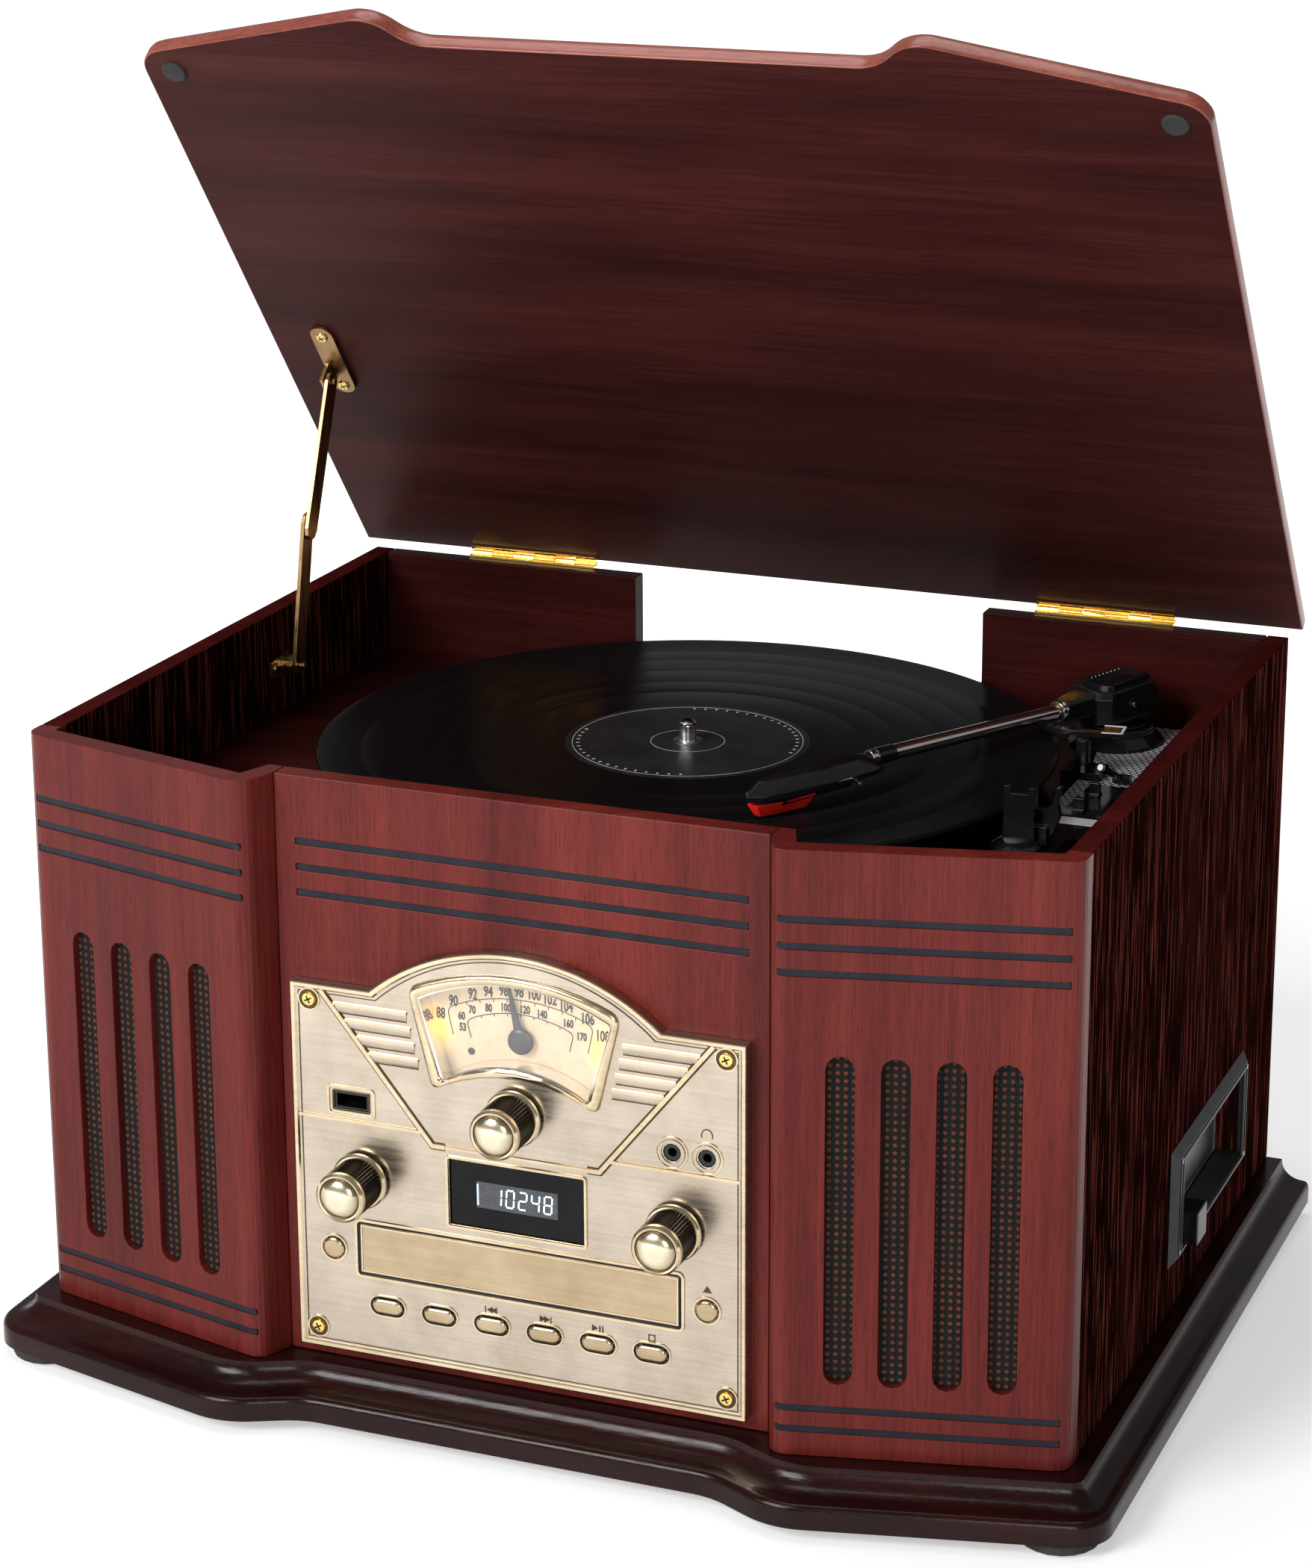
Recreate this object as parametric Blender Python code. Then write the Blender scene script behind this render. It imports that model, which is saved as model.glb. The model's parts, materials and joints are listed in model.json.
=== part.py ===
"""Radio phonograph console: a tabletop wooden cabinet with a radio, a disc drawer, a side cassette slot and
a record player under a hinged lid, modelled with the lid propped open and the tonearm over the record.

Metres, +Z up. Every shape is laid out in the cabinet's own frame, whose origin is the middle of its back
face at floor level, with -Y towards the listener. The parent empty moves it so that the model's origin is
the bottom centre of the whole object.
"""

import math

import bmesh
import bpy
from mathutils import Matrix, Vector

# --- driving dimensions ----------------------------------------------------------------------------------
GAP = 0.0003                 # between touching pieces
BODY_HALF = 0.213            # half the cabinet's width
WALL = 0.009                 # board thickness
RIM_Z = 0.2605               # top of the cabinet walls
CORNER_Y = -0.310            # front outer corners
INNER_X, INNER_Y = 0.1058, -0.336   # inner end of each angled front panel
CENTRE_X, CENTRE_Y = 0.100, -0.321  # end and face of the recessed centre panel
FOOT_HEIGHT, FOOT_RADIUS = 0.005, 0.0155
BASE_TOP = 0.0238
BASE_FRONT, BASE_SIDE = 0.022, 0.019   # how far the base board stands out
DECK_Z = 0.2158              # top of the wooden deck
DECK_THICK = 0.006
NOTCH_HALF, NOTCH_Z = 0.081, 0.2265    # dip in the back rim for the record's edge

HINGE_Y, HINGE_Z = 0.00086, 0.262      # lid hinge axis
LID_OPEN = math.radians(51.7)
LID_GAP = 0.0015             # lid underside above the hinge axis, when closed
LID_THICK = 0.009
LID_SIDE, LID_FRONT = 0.0055, 0.0035   # overhang over the cabinet
LID_BACK, LID_EDGE = 0.0002, 0.0015    # the closed lid's back edge, and the bevel round its top

SPINDLE = Vector((0.0, -0.150))
RECORD_RADIUS, RECORD_TOP, RECORD_THICK = 0.151, 0.2345, 0.0015
PLATTER_RADIUS = 0.098
CHASSIS_Z0, CHASSIS_Z = 0.2161, 0.2190  # black plate of the record player
ARM_AXIS = Vector((0.149, -0.038))
ARM_PITCH_Z = 0.2375
ARM_TURN = math.radians(22.1)           # tube direction from -Y towards -X
ARM_RISE = math.radians(3.5)
REST_AT = Vector((0.1532, -0.1885))
CUE_AT = Vector((0.150, -0.090))         # cue lift
LEVER_PIVOT, LEVER_REACH = Vector((0.1685, -0.0970, 0.2218)), Vector((-0.005, -0.0145, 0.0085))
SWITCHES = ((0.1625, -0.1158), (0.1621, -0.1370))
MOTOR_AT = Vector((-0.055, -0.203))
PULLEY_RADIUS, SUB_RIM_RADIUS = 0.006, 0.064

STAY_X = -0.196              # plane of the lid stay
STAY_WALL_PIVOT = (-0.114, 0.2365)
STAY_ARM = 0.0619
STAY_LID_PIVOT = (-0.12286, -0.0055)    # from the hinge axis, lid closed

PLATE_BACK, PLATE_FACE = -0.3213, -0.326   # faceplate
PLATE_HALF, PLATE_LOW, PLATE_HIGH = 0.0928, 0.0297, 0.1802
ARCH_HALF, ARCH_TOP = 0.0596, 0.2025
KNOBS = {"function_knob": (-0.0645, 0.1028), "volume_knob": (0.0645, 0.1028), "tuning_knob": (0.0, 0.1383)}
KNOB_RADIUS = 0.0100
BUTTON_Z, BUTTON_PITCH, BUTTON_COUNT = 0.0511, 0.02195, 6
BUTTON_HALF, BUTTON_RADIUS = 0.0034, 0.0030
ROUND_BUTTON_X, ROUND_BUTTON_Z, ROUND_BUTTON_RADIUS = 0.0772, 0.0724, 0.0044
DRAWER_HALF, DRAWER_LOW, DRAWER_HIGH = 0.066, 0.0640, 0.0840
DISPLAY_HALF, DISPLAY_LOW, DISPLAY_HIGH = 0.0274, 0.0907, 0.1168
USB_X, USB_Z = -0.0682, 0.1342
JACKS = ((0.0633, 0.1338), (0.0772, 0.1336))
DIAL_HUB = (0.0, 0.1661)
POINTER_TURN = math.radians(-12.0)

SLOT_COUNT, SLOT_PITCH, SLOT_WIDTH = 4, 0.0201, 0.0107
SLOT_LOW, SLOT_HIGH = 0.0535, 0.1830
GROOVE_WIDTH, GROOVE_DEPTH = 0.0026, 0.0013
TOP_GROOVES, BOTTOM_GROOVES = (0.2344, 0.2242, 0.2141), (0.0433, 0.0348)

CASSETTE_Y, CASSETTE_Z = (-0.173, -0.0555), (0.0452, 0.0950)
TAPE_Y, TAPE_Z = (-0.1635, -0.0605), (0.0510, 0.0890)

ANGLED_TURN = math.atan2(CORNER_Y - INNER_Y, BODY_HALF - INNER_X)
ANGLED_LENGTH = math.hypot(CORNER_Y - INNER_Y, BODY_HALF - INNER_X)

for old in list(bpy.data.objects):
    bpy.data.objects.remove(old, do_unlink=True)


# --- materials -------------------------------------------------------------------------------------------
def finish(name, colour, roughness, metallic=0.0):
    material = bpy.data.materials.new(name)
    material.use_nodes = True
    shader = material.node_tree.nodes["Principled BSDF"]
    shader.inputs["Base Color"].default_value = (*colour, 1.0)
    shader.inputs["Roughness"].default_value = roughness
    shader.inputs["Metallic"].default_value = metallic
    return material


WOOD = finish("mahogany", (0.13, 0.025, 0.02), 0.3)
DARK_WOOD = finish("dark_mahogany", (0.035, 0.008, 0.008), 0.25)
BRONZE = finish("champagne_brass", (0.60, 0.50, 0.36), 0.35, 1.0)
ANTIQUE = finish("antique_brass", (0.30, 0.20, 0.10), 0.4, 1.0)
GOLD = finish("bright_brass", (0.85, 0.60, 0.20), 0.2, 1.0)
CHROME = finish("chrome", (0.85, 0.85, 0.87), 0.08, 1.0)
BLACK = finish("black_plastic", (0.012, 0.012, 0.013), 0.35)
RUBBER = finish("rubber", (0.015, 0.015, 0.015), 0.8)
VINYL = finish("vinyl", (0.008, 0.008, 0.009), 0.2)
RED = finish("red_plastic", (0.8, 0.02, 0.01), 0.3)
CREAM = finish("cream_dial", (0.85, 0.70, 0.48), 0.5)
CLEAR = finish("clear_plastic", (0.9, 0.9, 0.9), 0.05)
GLASS_BLACK = finish("display_window", (0.01, 0.01, 0.012), 0.1)
STEEL = finish("steel", (0.5, 0.5, 0.5), 0.4, 1.0)
BOARD = finish("circuit_board", (0.03, 0.18, 0.06), 0.5)


# --- building blocks -------------------------------------------------------------------------------------
def closed_mesh(rings, caps=True):
    """A body through rings of points, all with the same count, listed from one end to the other."""
    bm = bmesh.new()
    made = [[bm.verts.new(point) for point in ring] for ring in rings]
    count = len(made[0])
    pairs = zip(made, made[1:]) if caps else zip(made, made[1:] + made[:1])
    for lower, upper in pairs:
        for i in range(count):
            j = (i + 1) % count
            bm.faces.new((lower[i], lower[j], upper[j], upper[i]))
    if caps:
        bm.faces.new(list(reversed(made[0])))
        bm.faces.new(made[-1])
    bmesh.ops.recalc_face_normals(bm, faces=bm.faces)
    return bm


def prism(outline, low, high):
    """The (x, y) outline, extruded from height low to height high."""
    return closed_mesh([[(x, y, z) for x, y in outline] for z in (low, high)])


def front_prism(outline, front, back):
    """An outline drawn on the front view, as (x, z), extruded along Y."""
    return closed_mesh([[(x, y, z) for x, z in outline] for y in (front, back)])


def side_prism(outline, low, high):
    """An outline drawn on the side view, as (y, z), extruded along X."""
    return closed_mesh([[(x, y, z) for y, z in outline] for x in (low, high)])


def block(low, high):
    (x0, y0, z0), (x1, y1, z1) = low, high
    return prism([(x0, y0), (x1, y0), (x1, y1), (x0, y1)], z0, z1)


def turned(profile, steps, closed=False):
    """The (radius, z) profile, turned about Z; a closed profile makes a ring."""
    angles = [math.tau * i / steps for i in range(steps)]
    rings = [[(r * math.cos(a), r * math.sin(a), z) for a in angles] for r, z in profile]
    return closed_mesh(rings, caps=not closed)


def placed(bm, at=(0, 0, 0), turn=0.0, axis="Z"):
    """The shape turned about an axis through its own origin, then moved."""
    bm.transform(Matrix.Translation(at) @ Matrix.Rotation(turn, 4, axis))
    return bm


def facing_front(bm, x, z, y=0.0):
    """A shape turned about Z, laid down so that its +Z points out of the front."""
    return placed(bm, (x, y, z), math.pi / 2, "X")


def round_bar(start, end, radius, steps=8):
    start, end = Vector(start), Vector(end)
    bm = turned([(radius, 0.0), (radius, (end - start).length)], steps)
    bm.transform(Matrix.Translation(start) @ (end - start).to_track_quat("Z", "Y").to_matrix().to_4x4())
    return bm


def together(*shapes):
    """Several closed shapes in one mesh, for use as a cutter."""
    merged = bmesh.new()
    for bm in shapes:
        held = bpy.data.meshes.new("held")
        bm.to_mesh(held)
        merged.from_mesh(held)
        bm.free()
        bpy.data.meshes.remove(held)
    return merged


def add_object(name, bm, parent):
    mesh = bpy.data.meshes.new(name)
    bm.to_mesh(mesh)
    bm.free()
    mesh.shade_smooth()
    mesh.set_sharp_from_angle(angle=math.radians(35))
    made = bpy.data.objects.new(name, mesh)
    bpy.context.scene.collection.objects.link(made)
    made.parent = parent
    return made


def piece(name, bm, material, origin=(0, 0, 0), parent=None):
    """A named sub-part drawn in its parent's frame, with its origin at the given point."""
    bm.transform(Matrix.Translation(-Vector(origin)))
    made = add_object(name, bm, parent or console)
    made.location = origin
    made.data.materials.append(material)
    return made


def combine(target, bm, operation, label):
    """Adds or takes away a shape drawn in the same frame as the target was."""
    bm.transform(Matrix.Translation(-target.location))
    tool = add_object(f"{target.name}_{label}", bm, target)
    tool.hide_render = True
    tool.display_type = "WIRE"
    modifier = target.modifiers.new(label, "BOOLEAN")
    modifier.operation = operation
    modifier.object = tool


def cut(target, bm, label="cutter"):
    combine(target, bm, "DIFFERENCE", label)


def fuse(target, bm, label="addition"):
    combine(target, bm, "UNION", label)


# --- outlines --------------------------------------------------------------------------------------------
def rounded(points, radii, steps=4, closed=True):
    """The outline with each corner of a given radius made an arc that fits its two sides."""
    count, out = len(points), []
    for i, (point, radius) in enumerate(zip(points, radii)):
        corner = Vector(point)
        if radius <= 0 or (not closed and i in (0, count - 1)):
            out.append(tuple(corner))
            continue
        back = Vector(points[i - 1]) - corner
        ahead = Vector(points[(i + 1) % count]) - corner
        half = back.angle(ahead) / 2
        reach = min(radius / math.tan(half), 0.48 * back.length, 0.48 * ahead.length)
        radius = reach * math.tan(half)
        middle = corner + (back.normalized() + ahead.normalized()).normalized() * (radius / math.sin(half))
        start = corner + back.normalized() * reach - middle
        sweep = start.angle_signed(corner + ahead.normalized() * reach - middle)
        for k in range(steps + 1):
            turn = -sweep * k / steps
            c, s = math.cos(turn), math.sin(turn)
            out.append((middle.x + start.x * c - start.y * s, middle.y + start.x * s + start.y * c))
    return out


def shifted(points, offsets):
    """The open polyline with each of its segments moved to the right of its direction by its own offset."""
    lines = []
    for a, b, offset in zip(points, points[1:], offsets):
        along = (Vector(b) - Vector(a)).normalized()
        lines.append((Vector(a) + Vector((along.y, -along.x)) * offset, along, (Vector(b) - Vector(a)).length))
    out = [tuple(lines[0][0])]
    for (p, d, _), (q, e, _) in zip(lines, lines[1:]):
        reach = (q - p).cross(e) / d.cross(e)
        out.append(tuple(p + d * reach))
    out.append(tuple(lines[-1][0] + lines[-1][1] * lines[-1][2]))
    return out


def angled_y(x):
    """Depth of the angled front faces at a distance x from the middle."""
    return CORNER_Y - (BODY_HALF - x) * math.tan(ANGLED_TURN)


def stepped_line(run):
    """Left back corner, round the front, to the right back corner; run is the width of each step."""
    middle = (INNER_X + CENTRE_X) / 2
    outer, inner = middle + run / 2, middle - run / 2
    half = [(-BODY_HALF, 0.0), (-BODY_HALF, CORNER_Y), (-outer, angled_y(outer)), (-inner, CENTRE_Y)]
    return half + [(-x, y) for x, y in reversed(half)]


def stepped_outline(side, front, run, corner_radius, step_radius, steps):
    line = shifted(stepped_line(run), [side] + [front] * 5 + [side])
    radii = [0, corner_radius, step_radius, step_radius]
    return rounded(line, radii + radii[::-1], steps)


def pill(x, z, half, radius, steps=6):
    """A slot shape on the front view: two half circles joined by straight sides."""
    out = []
    for side, start in ((1, -math.pi / 2), (-1, math.pi / 2)):
        for k in range(steps + 1):
            a = start + math.pi * k / steps
            out.append((x + side * half + radius * math.cos(a), z + radius * math.sin(a)))
    return out


def arc_between(left, right, rise, steps):
    """Points from left to right over an arc whose middle is rise above the chord."""
    half = (right[0] - left[0]) / 2
    radius = (half * half + rise * rise) / (2 * rise)
    spread = math.asin(half / radius)
    cx, cz = (left[0] + right[0]) / 2, left[1] + rise - radius
    angles = [spread * (2 * k / steps - 1) for k in range(steps + 1)]
    return [(cx + radius * math.sin(a), cz + radius * math.cos(a)) for a in angles]


def dial_outline(inset=0.0):
    """The fan-shaped dial window, closed, on the front view."""
    top = arc_between((-0.0398 + inset, 0.1806 - inset), (0.0398 - inset, 0.1806 - inset), 0.0099, 8)
    low = arc_between((-0.0302 + inset, 0.1478 + inset), (0.0302 - inset, 0.1478 + inset), 0.0091, 8)
    return top + low[::-1]


# --- frame -----------------------------------------------------------------------------------------------
base_outline = stepped_outline(BASE_SIDE, BASE_FRONT, 0.026, 0.016, 0.034, 5)
front_reach = min(y for _, y in base_outline)
back_reach = max(HINGE_Y + z * math.sin(LID_OPEN) + (LID_BACK - inset - HINGE_Y) * math.cos(LID_OPEN)
                 for z, inset in ((LID_GAP + LID_THICK, LID_EDGE), (LID_GAP + LID_THICK - LID_EDGE, 0.0)))
console = bpy.data.objects.new("console", None)
bpy.context.scene.collection.objects.link(console)
console.location = (0.0, -(front_reach + back_reach) / 2, 0.0)


# --- cabinet ---------------------------------------------------------------------------------------------
def make_base():
    # (share of the full overhang, height) from the underside up: band, nose, cove, ledge
    profile = ((1.0, 0.0050), (1.0, 0.0135), (0.90, 0.0146), (0.66, 0.0163), (0.48, 0.0192), (0.38, 0.0225),
               (0.36, BASE_TOP))
    rings = []
    for share, z in profile:
        outline = stepped_outline(BASE_SIDE * share, BASE_FRONT * share, 0.026, 0.016 * share, 0.034, 5)
        rings.append([(x, y, z) for x, y in outline])
    piece("base_board", closed_mesh(rings), DARK_WOOD)
    foot = [(0.0125, 0.0), (FOOT_RADIUS, 0.0012), (FOOT_RADIUS, FOOT_HEIGHT - GAP)]
    for row, y in (("front", -0.316), ("rear", -0.030)):
        for side, x in (("left", -0.212), ("right", 0.212)):
            piece(f"foot_{row}_{side}", placed(turned(foot, 20), (x, y, 0.0)), RUBBER, (x, y, 0.0))


def along_angled(side, u, out=0.0):
    """The point u along an angled face from its outer corner, and out in front of it."""
    x = BODY_HALF - u * math.cos(ANGLED_TURN) + out * math.sin(ANGLED_TURN)
    return side * x, CORNER_Y - u * math.sin(ANGLED_TURN) - out * math.cos(ANGLED_TURN)


def angled_tool(side, outline, front, back):
    """An (u, z) outline on an angled face, extruded from front to back of the face."""
    rings = []
    for out in (front, -back):
        rings.append([(*along_angled(side, u, out), z) for u, z in outline])
    return closed_mesh(rings)


def make_walls():
    low, side_front = BASE_TOP + GAP, CORNER_Y + 0.0115
    left = [(-BODY_HALF, side_front, low), (-BODY_HALF + WALL, 0.0, RIM_Z)]
    right = [(BODY_HALF - WALL, side_front, low), (BODY_HALF, 0.0, RIM_Z)]
    piece("left_side_panel", block(*left), WOOD)
    side = piece("right_side_panel", block(*right), WOOD)
    margin = 0.005
    cut(side, block((0.2, CASSETTE_Y[0] + margin, CASSETTE_Z[0] + margin),
                    (0.22, CASSETTE_Y[1] - margin, CASSETTE_Z[1] - margin)))
    inside = BODY_HALF - WALL - GAP
    back = piece("back_panel", block((-inside, -WALL, low), (inside, 0.0, RIM_Z)), WOOD)
    notch = block((-NOTCH_HALF, -0.02, NOTCH_Z), (NOTCH_HALF, 0.01, RIM_Z + 0.01))
    inlet = block((-0.172, -0.02, 0.044), (-0.150, 0.01, 0.060))
    cut(back, together(notch, inlet))

    line = [(BODY_HALF, side_front - GAP), (BODY_HALF, CORNER_Y), (INNER_X, INNER_Y),
            (CENTRE_X, CENTRE_Y), (0.0, CENTRE_Y)]
    outer = rounded(line, [0, 0.007, 0.006, 0.0, 0.0], 4, closed=False)[:-1]
    inner = shifted(line, [WALL] * 4)[:-1]
    outer.append((CENTRE_X, CENTRE_Y + WALL))
    for name, sign in (("left", -1), ("right", 1)):
        outline = [(sign * x, y) for x, y in outer + inner[::-1]]
        panel = piece(f"front_{name}_panel", prism(outline, low, RIM_Z), WOOD)
        first = ANGLED_LENGTH / 2 - SLOT_PITCH * (SLOT_COUNT - 1) / 2
        radius = SLOT_WIDTH / 2
        slots = []
        for i in range(SLOT_COUNT):
            middle, half = (SLOT_LOW + SLOT_HIGH) / 2, (SLOT_HIGH - SLOT_LOW) / 2 - radius
            upright = [(u, z) for z, u in pill(middle, first + i * SLOT_PITCH, half, radius)]
            slots.append(angled_tool(sign, upright, 0.004, 0.014))
        for z in TOP_GROOVES + BOTTOM_GROOVES:
            ends, half = (0.0035, ANGLED_LENGTH - 0.0015), GROOVE_WIDTH / 2
            strip = [(ends[0], z - half), (ends[1], z - half), (ends[1], z + half), (ends[0], z + half)]
            slots.append(angled_tool(sign, strip, 0.004, GROOVE_DEPTH))
        cut(panel, together(*slots))

    reach = CENTRE_X - GAP
    centre = piece("front_centre_panel",
                   block((-reach, CENTRE_Y, low), (reach, CENTRE_Y + WALL, RIM_Z)), WOOD)
    opening = [(-0.084, 0.040), (0.084, 0.040), (0.084, 0.172), (0.046, 0.172), (0.046, 0.1860), (0.032, 0.1930),
               (-0.032, 0.1930), (-0.046, 0.1860), (-0.046, 0.172), (-0.084, 0.172)]
    tools = [front_prism(opening, -0.33, -0.30)]
    for z in TOP_GROOVES:
        half = GROOVE_WIDTH / 2
        tools.append(block((-0.0914, -0.33, z - half), (0.0914, CENTRE_Y + GROOVE_DEPTH, z + half)))
    cut(centre, together(*tools))


def make_deck():
    outline = shifted(stepped_line(INNER_X - CENTRE_X), [-WALL - GAP] * 7)
    outline[0], outline[-1] = [(x, -WALL - GAP) for x, _ in (outline[0], outline[-1])]
    deck = piece("deck_board", prism(outline, DECK_Z - DECK_THICK, DECK_Z), DARK_WOOD)
    holes = ((SPINDLE, 0.008), (MOTOR_AT, 0.009), (ARM_AXIS, 0.0075), (CUE_AT, 0.0045))
    cut(deck, together(*[placed(turned([(r, 0.2), (r, 0.23)], 16), (*at, 0.0)) for at, r in holes]))


# --- lid and its stay ------------------------------------------------------------------------------------
def lid_frame():
    """The lid board; its local frame has the hinge axis as origin and holds the closed lid."""
    top, levels = LID_GAP + LID_THICK, []
    for inset, z in ((0.0, LID_GAP), (0.0, top - LID_EDGE), (LID_EDGE, top)):
        outline = stepped_outline(LID_SIDE - inset, LID_FRONT - inset, 0.014, 0.012, 0.020, 4)
        outline[0], outline[-1] = [(x, LID_BACK - inset) for x, _ in (outline[0], outline[-1])]
        levels.append(([(x, y - HINGE_Y) for x, y in outline], z))
    rings = [[(x, y, z) for x, y in points] for points, z in levels]
    lid = piece("lid", closed_mesh(rings), WOOD)
    lid.location = (0.0, HINGE_Y, HINGE_Z)
    lid.rotation_euler.x = -LID_OPEN
    return lid


def make_hinges(lid):
    """Two butt hinges; each has six knuckles, every other one on the cabinet's leaf, which holds the pin."""
    length, knuckles, barrel = 0.0612, 6, 0.0013
    pitch = length / knuckles
    for name, middle in (("left", -0.1344), ("right", 0.1330)):
        low = middle - length / 2

        def knuckle_row(first, radius, inset):
            rows = []
            for k in range(first, knuckles, 2):
                start = (low + k * pitch + inset, 0.0, 0.0)
                rows.append(round_bar(start, (low + (k + 1) * pitch - inset, 0.0, 0.0), radius, 10))
            return rows

        def leaf(sign, first):
            plate = block((low, -0.0040, sign * 0.0003), (low + length, -0.0019, sign * 0.0012))
            made = [plate]
            for k in range(first, knuckles, 2):
                made.append(block((low + k * pitch + 0.0002, -0.0025, sign * 0.0003),
                                  (low + (k + 1) * pitch - 0.0002, -0.0002, sign * 0.0012)))
            return made

        at = Vector((0.0, HINGE_Y, HINGE_Z))
        fixed = piece(f"{name}_hinge_fixed_leaf", placed(leaf(-1, 0)[0], at), GOLD)
        tabs = leaf(-1, 0)[1:]
        for k, tab in enumerate(tabs + knuckle_row(0, barrel, 0.0002)):
            fuse(fixed, placed(tab, at), f"tab{k}")
        pin = round_bar((low + 0.0002, 0, 0), (low + length - 0.0004, 0, 0), 0.0005, 8)
        fuse(fixed, placed(pin, at), "pin")
        moving = piece(f"{name}_hinge_lid_leaf", leaf(1, 1)[0], GOLD, parent=lid)
        for k, tab in enumerate(leaf(1, 1)[1:] + knuckle_row(1, barrel, 0.0002)):
            fuse(moving, tab, f"tab{k}")
        cut(moving, round_bar((low - 0.002, 0, 0), (low + length + 0.002, 0, 0), 0.0007, 8), "pin_hole")


def stay_arm(start, end, x, thick, half):
    """A flat bar with round ends between two points of the stay's plane."""
    start, end = Vector(start), Vector(end)
    along = (end - start).normalized()
    across = Vector((-along.y, along.x))
    outline = []
    for centre, side in ((end, 1), (start, -1)):
        for k in range(5):
            a = -math.pi / 2 + math.pi * k / 4
            outline.append(tuple(centre + (along * math.cos(a) + across * math.sin(a)) * half * side))
    return side_prism(outline, x, x + thick)


def make_stay(lid):
    def closed_to_open(point):
        c, s = math.cos(LID_OPEN), math.sin(LID_OPEN)
        return Vector((HINGE_Y + point[0] * c + point[1] * s, HINGE_Z - point[0] * s + point[1] * c))

    wall, top = Vector(STAY_WALL_PIVOT), closed_to_open(STAY_LID_PIVOT)
    middle, span = (wall + top) / 2, (top - wall)
    bend = math.sqrt(STAY_ARM ** 2 - (span.length / 2) ** 2)
    knee = middle + Vector((-span.y, span.x)).normalized() * bend

    inner_wall = -BODY_HALF + WALL + GAP
    bracket = side_prism([(wall.x - 0.0135, wall.y - 0.0035), (wall.x + 0.003, wall.y - 0.0055),
                          (wall.x + 0.005, wall.y), (wall.x + 0.003, wall.y + 0.0055),
                          (wall.x - 0.0135, wall.y + 0.0035)], inner_wall, inner_wall + 0.0015)
    bracket = piece("stay_wall_bracket", bracket, ANTIQUE)
    fuse(bracket, round_bar((inner_wall + 0.001, *wall), (STAY_X - 0.0012, *wall), 0.0042, 12), "boss")
    fuse(bracket, round_bar((STAY_X - 0.0015, *wall), (STAY_X + 0.0035, *wall), 0.0017, 10), "rivet")

    bar = stay_arm(wall, knee, STAY_X - 0.0009, 0.0018, 0.0045)
    lower = piece("stay_lower_arm", bar, ANTIQUE, (STAY_X, *wall))
    cut(lower, round_bar((STAY_X - 0.01, *wall), (STAY_X + 0.01, *wall), 0.0021, 10), "pivot_hole")

    upper_frame = lid.matrix_basis.inverted()
    bar = stay_arm(top, knee + (knee - top).normalized() * 0.003, STAY_X + 0.0013, 0.0018, 0.0045)
    hole = round_bar((STAY_X - 0.01, *top), (STAY_X + 0.01, *top), 0.0021, 10)
    for bm in (bar, hole):
        bm.transform(upper_frame)
    upper = piece("stay_upper_arm", bar, ANTIQUE, (STAY_X, *STAY_LID_PIVOT), parent=lid)
    cut(upper, hole, "pivot_hole")

    y, z = STAY_LID_PIVOT
    plate_z = LID_GAP - GAP
    outline = rounded([(-0.1975, y - 0.029), (-0.1870, y - 0.029), (-0.1870, y + 0.013), (-0.1975, y + 0.013)],
                      [0.0050] * 4)
    bracket = piece("stay_lid_bracket", prism(outline, plate_z - 0.0016, plate_z), ANTIQUE, parent=lid)
    ear = side_prism([(y - 0.006, plate_z - 0.0005), (y - 0.0045, z - 0.0035), (y + 0.0045, z - 0.0035),
                      (y + 0.006, plate_z - 0.0005)], STAY_X - 0.0006, STAY_X + 0.0010)
    fuse(bracket, ear, "ear")
    fuse(bracket, round_bar((STAY_X + 0.0005, y, z), (STAY_X + 0.0045, y, z), 0.0017, 10), "rivet")


# --- record player ---------------------------------------------------------------------------------------
def make_platter():
    top, steps = RECORD_TOP - RECORD_THICK - GAP, 48
    low = 0.2225
    # underside: bearing shaft, hub, belt rim and outer rim hang below a flat top; the spindle stands on it
    profile = [(0.0035, 0.2105), (0.0035, low + 0.002), (0.010, low + 0.002), (0.010, top - 0.003),
               (SUB_RIM_RADIUS - 0.0025, top - 0.003), (SUB_RIM_RADIUS - 0.0025, low),
               (SUB_RIM_RADIUS, low), (SUB_RIM_RADIUS, top - 0.003), (PLATTER_RADIUS - 0.003, top - 0.003),
               (PLATTER_RADIUS - 0.003, low), (PLATTER_RADIUS, low), (PLATTER_RADIUS, top),
               (0.0035, top), (0.0035, 0.2422), (0.0018, 0.2436)]
    piece("platter", placed(turned(profile, steps), (*SPINDLE, 0.0)), BLACK, (*SPINDLE, RECORD_TOP))
    bottom = RECORD_TOP - RECORD_THICK
    profile = [(0.0038, bottom), (RECORD_RADIUS - 0.0006, bottom), (RECORD_RADIUS, bottom + 0.0007),
               (RECORD_RADIUS - 0.0006, RECORD_TOP), (0.0038, RECORD_TOP)]
    record = placed(turned(profile, 64, closed=True), (*SPINDLE, 0.0))
    piece("vinyl_record", record, VINYL, (*SPINDLE, RECORD_TOP))


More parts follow.
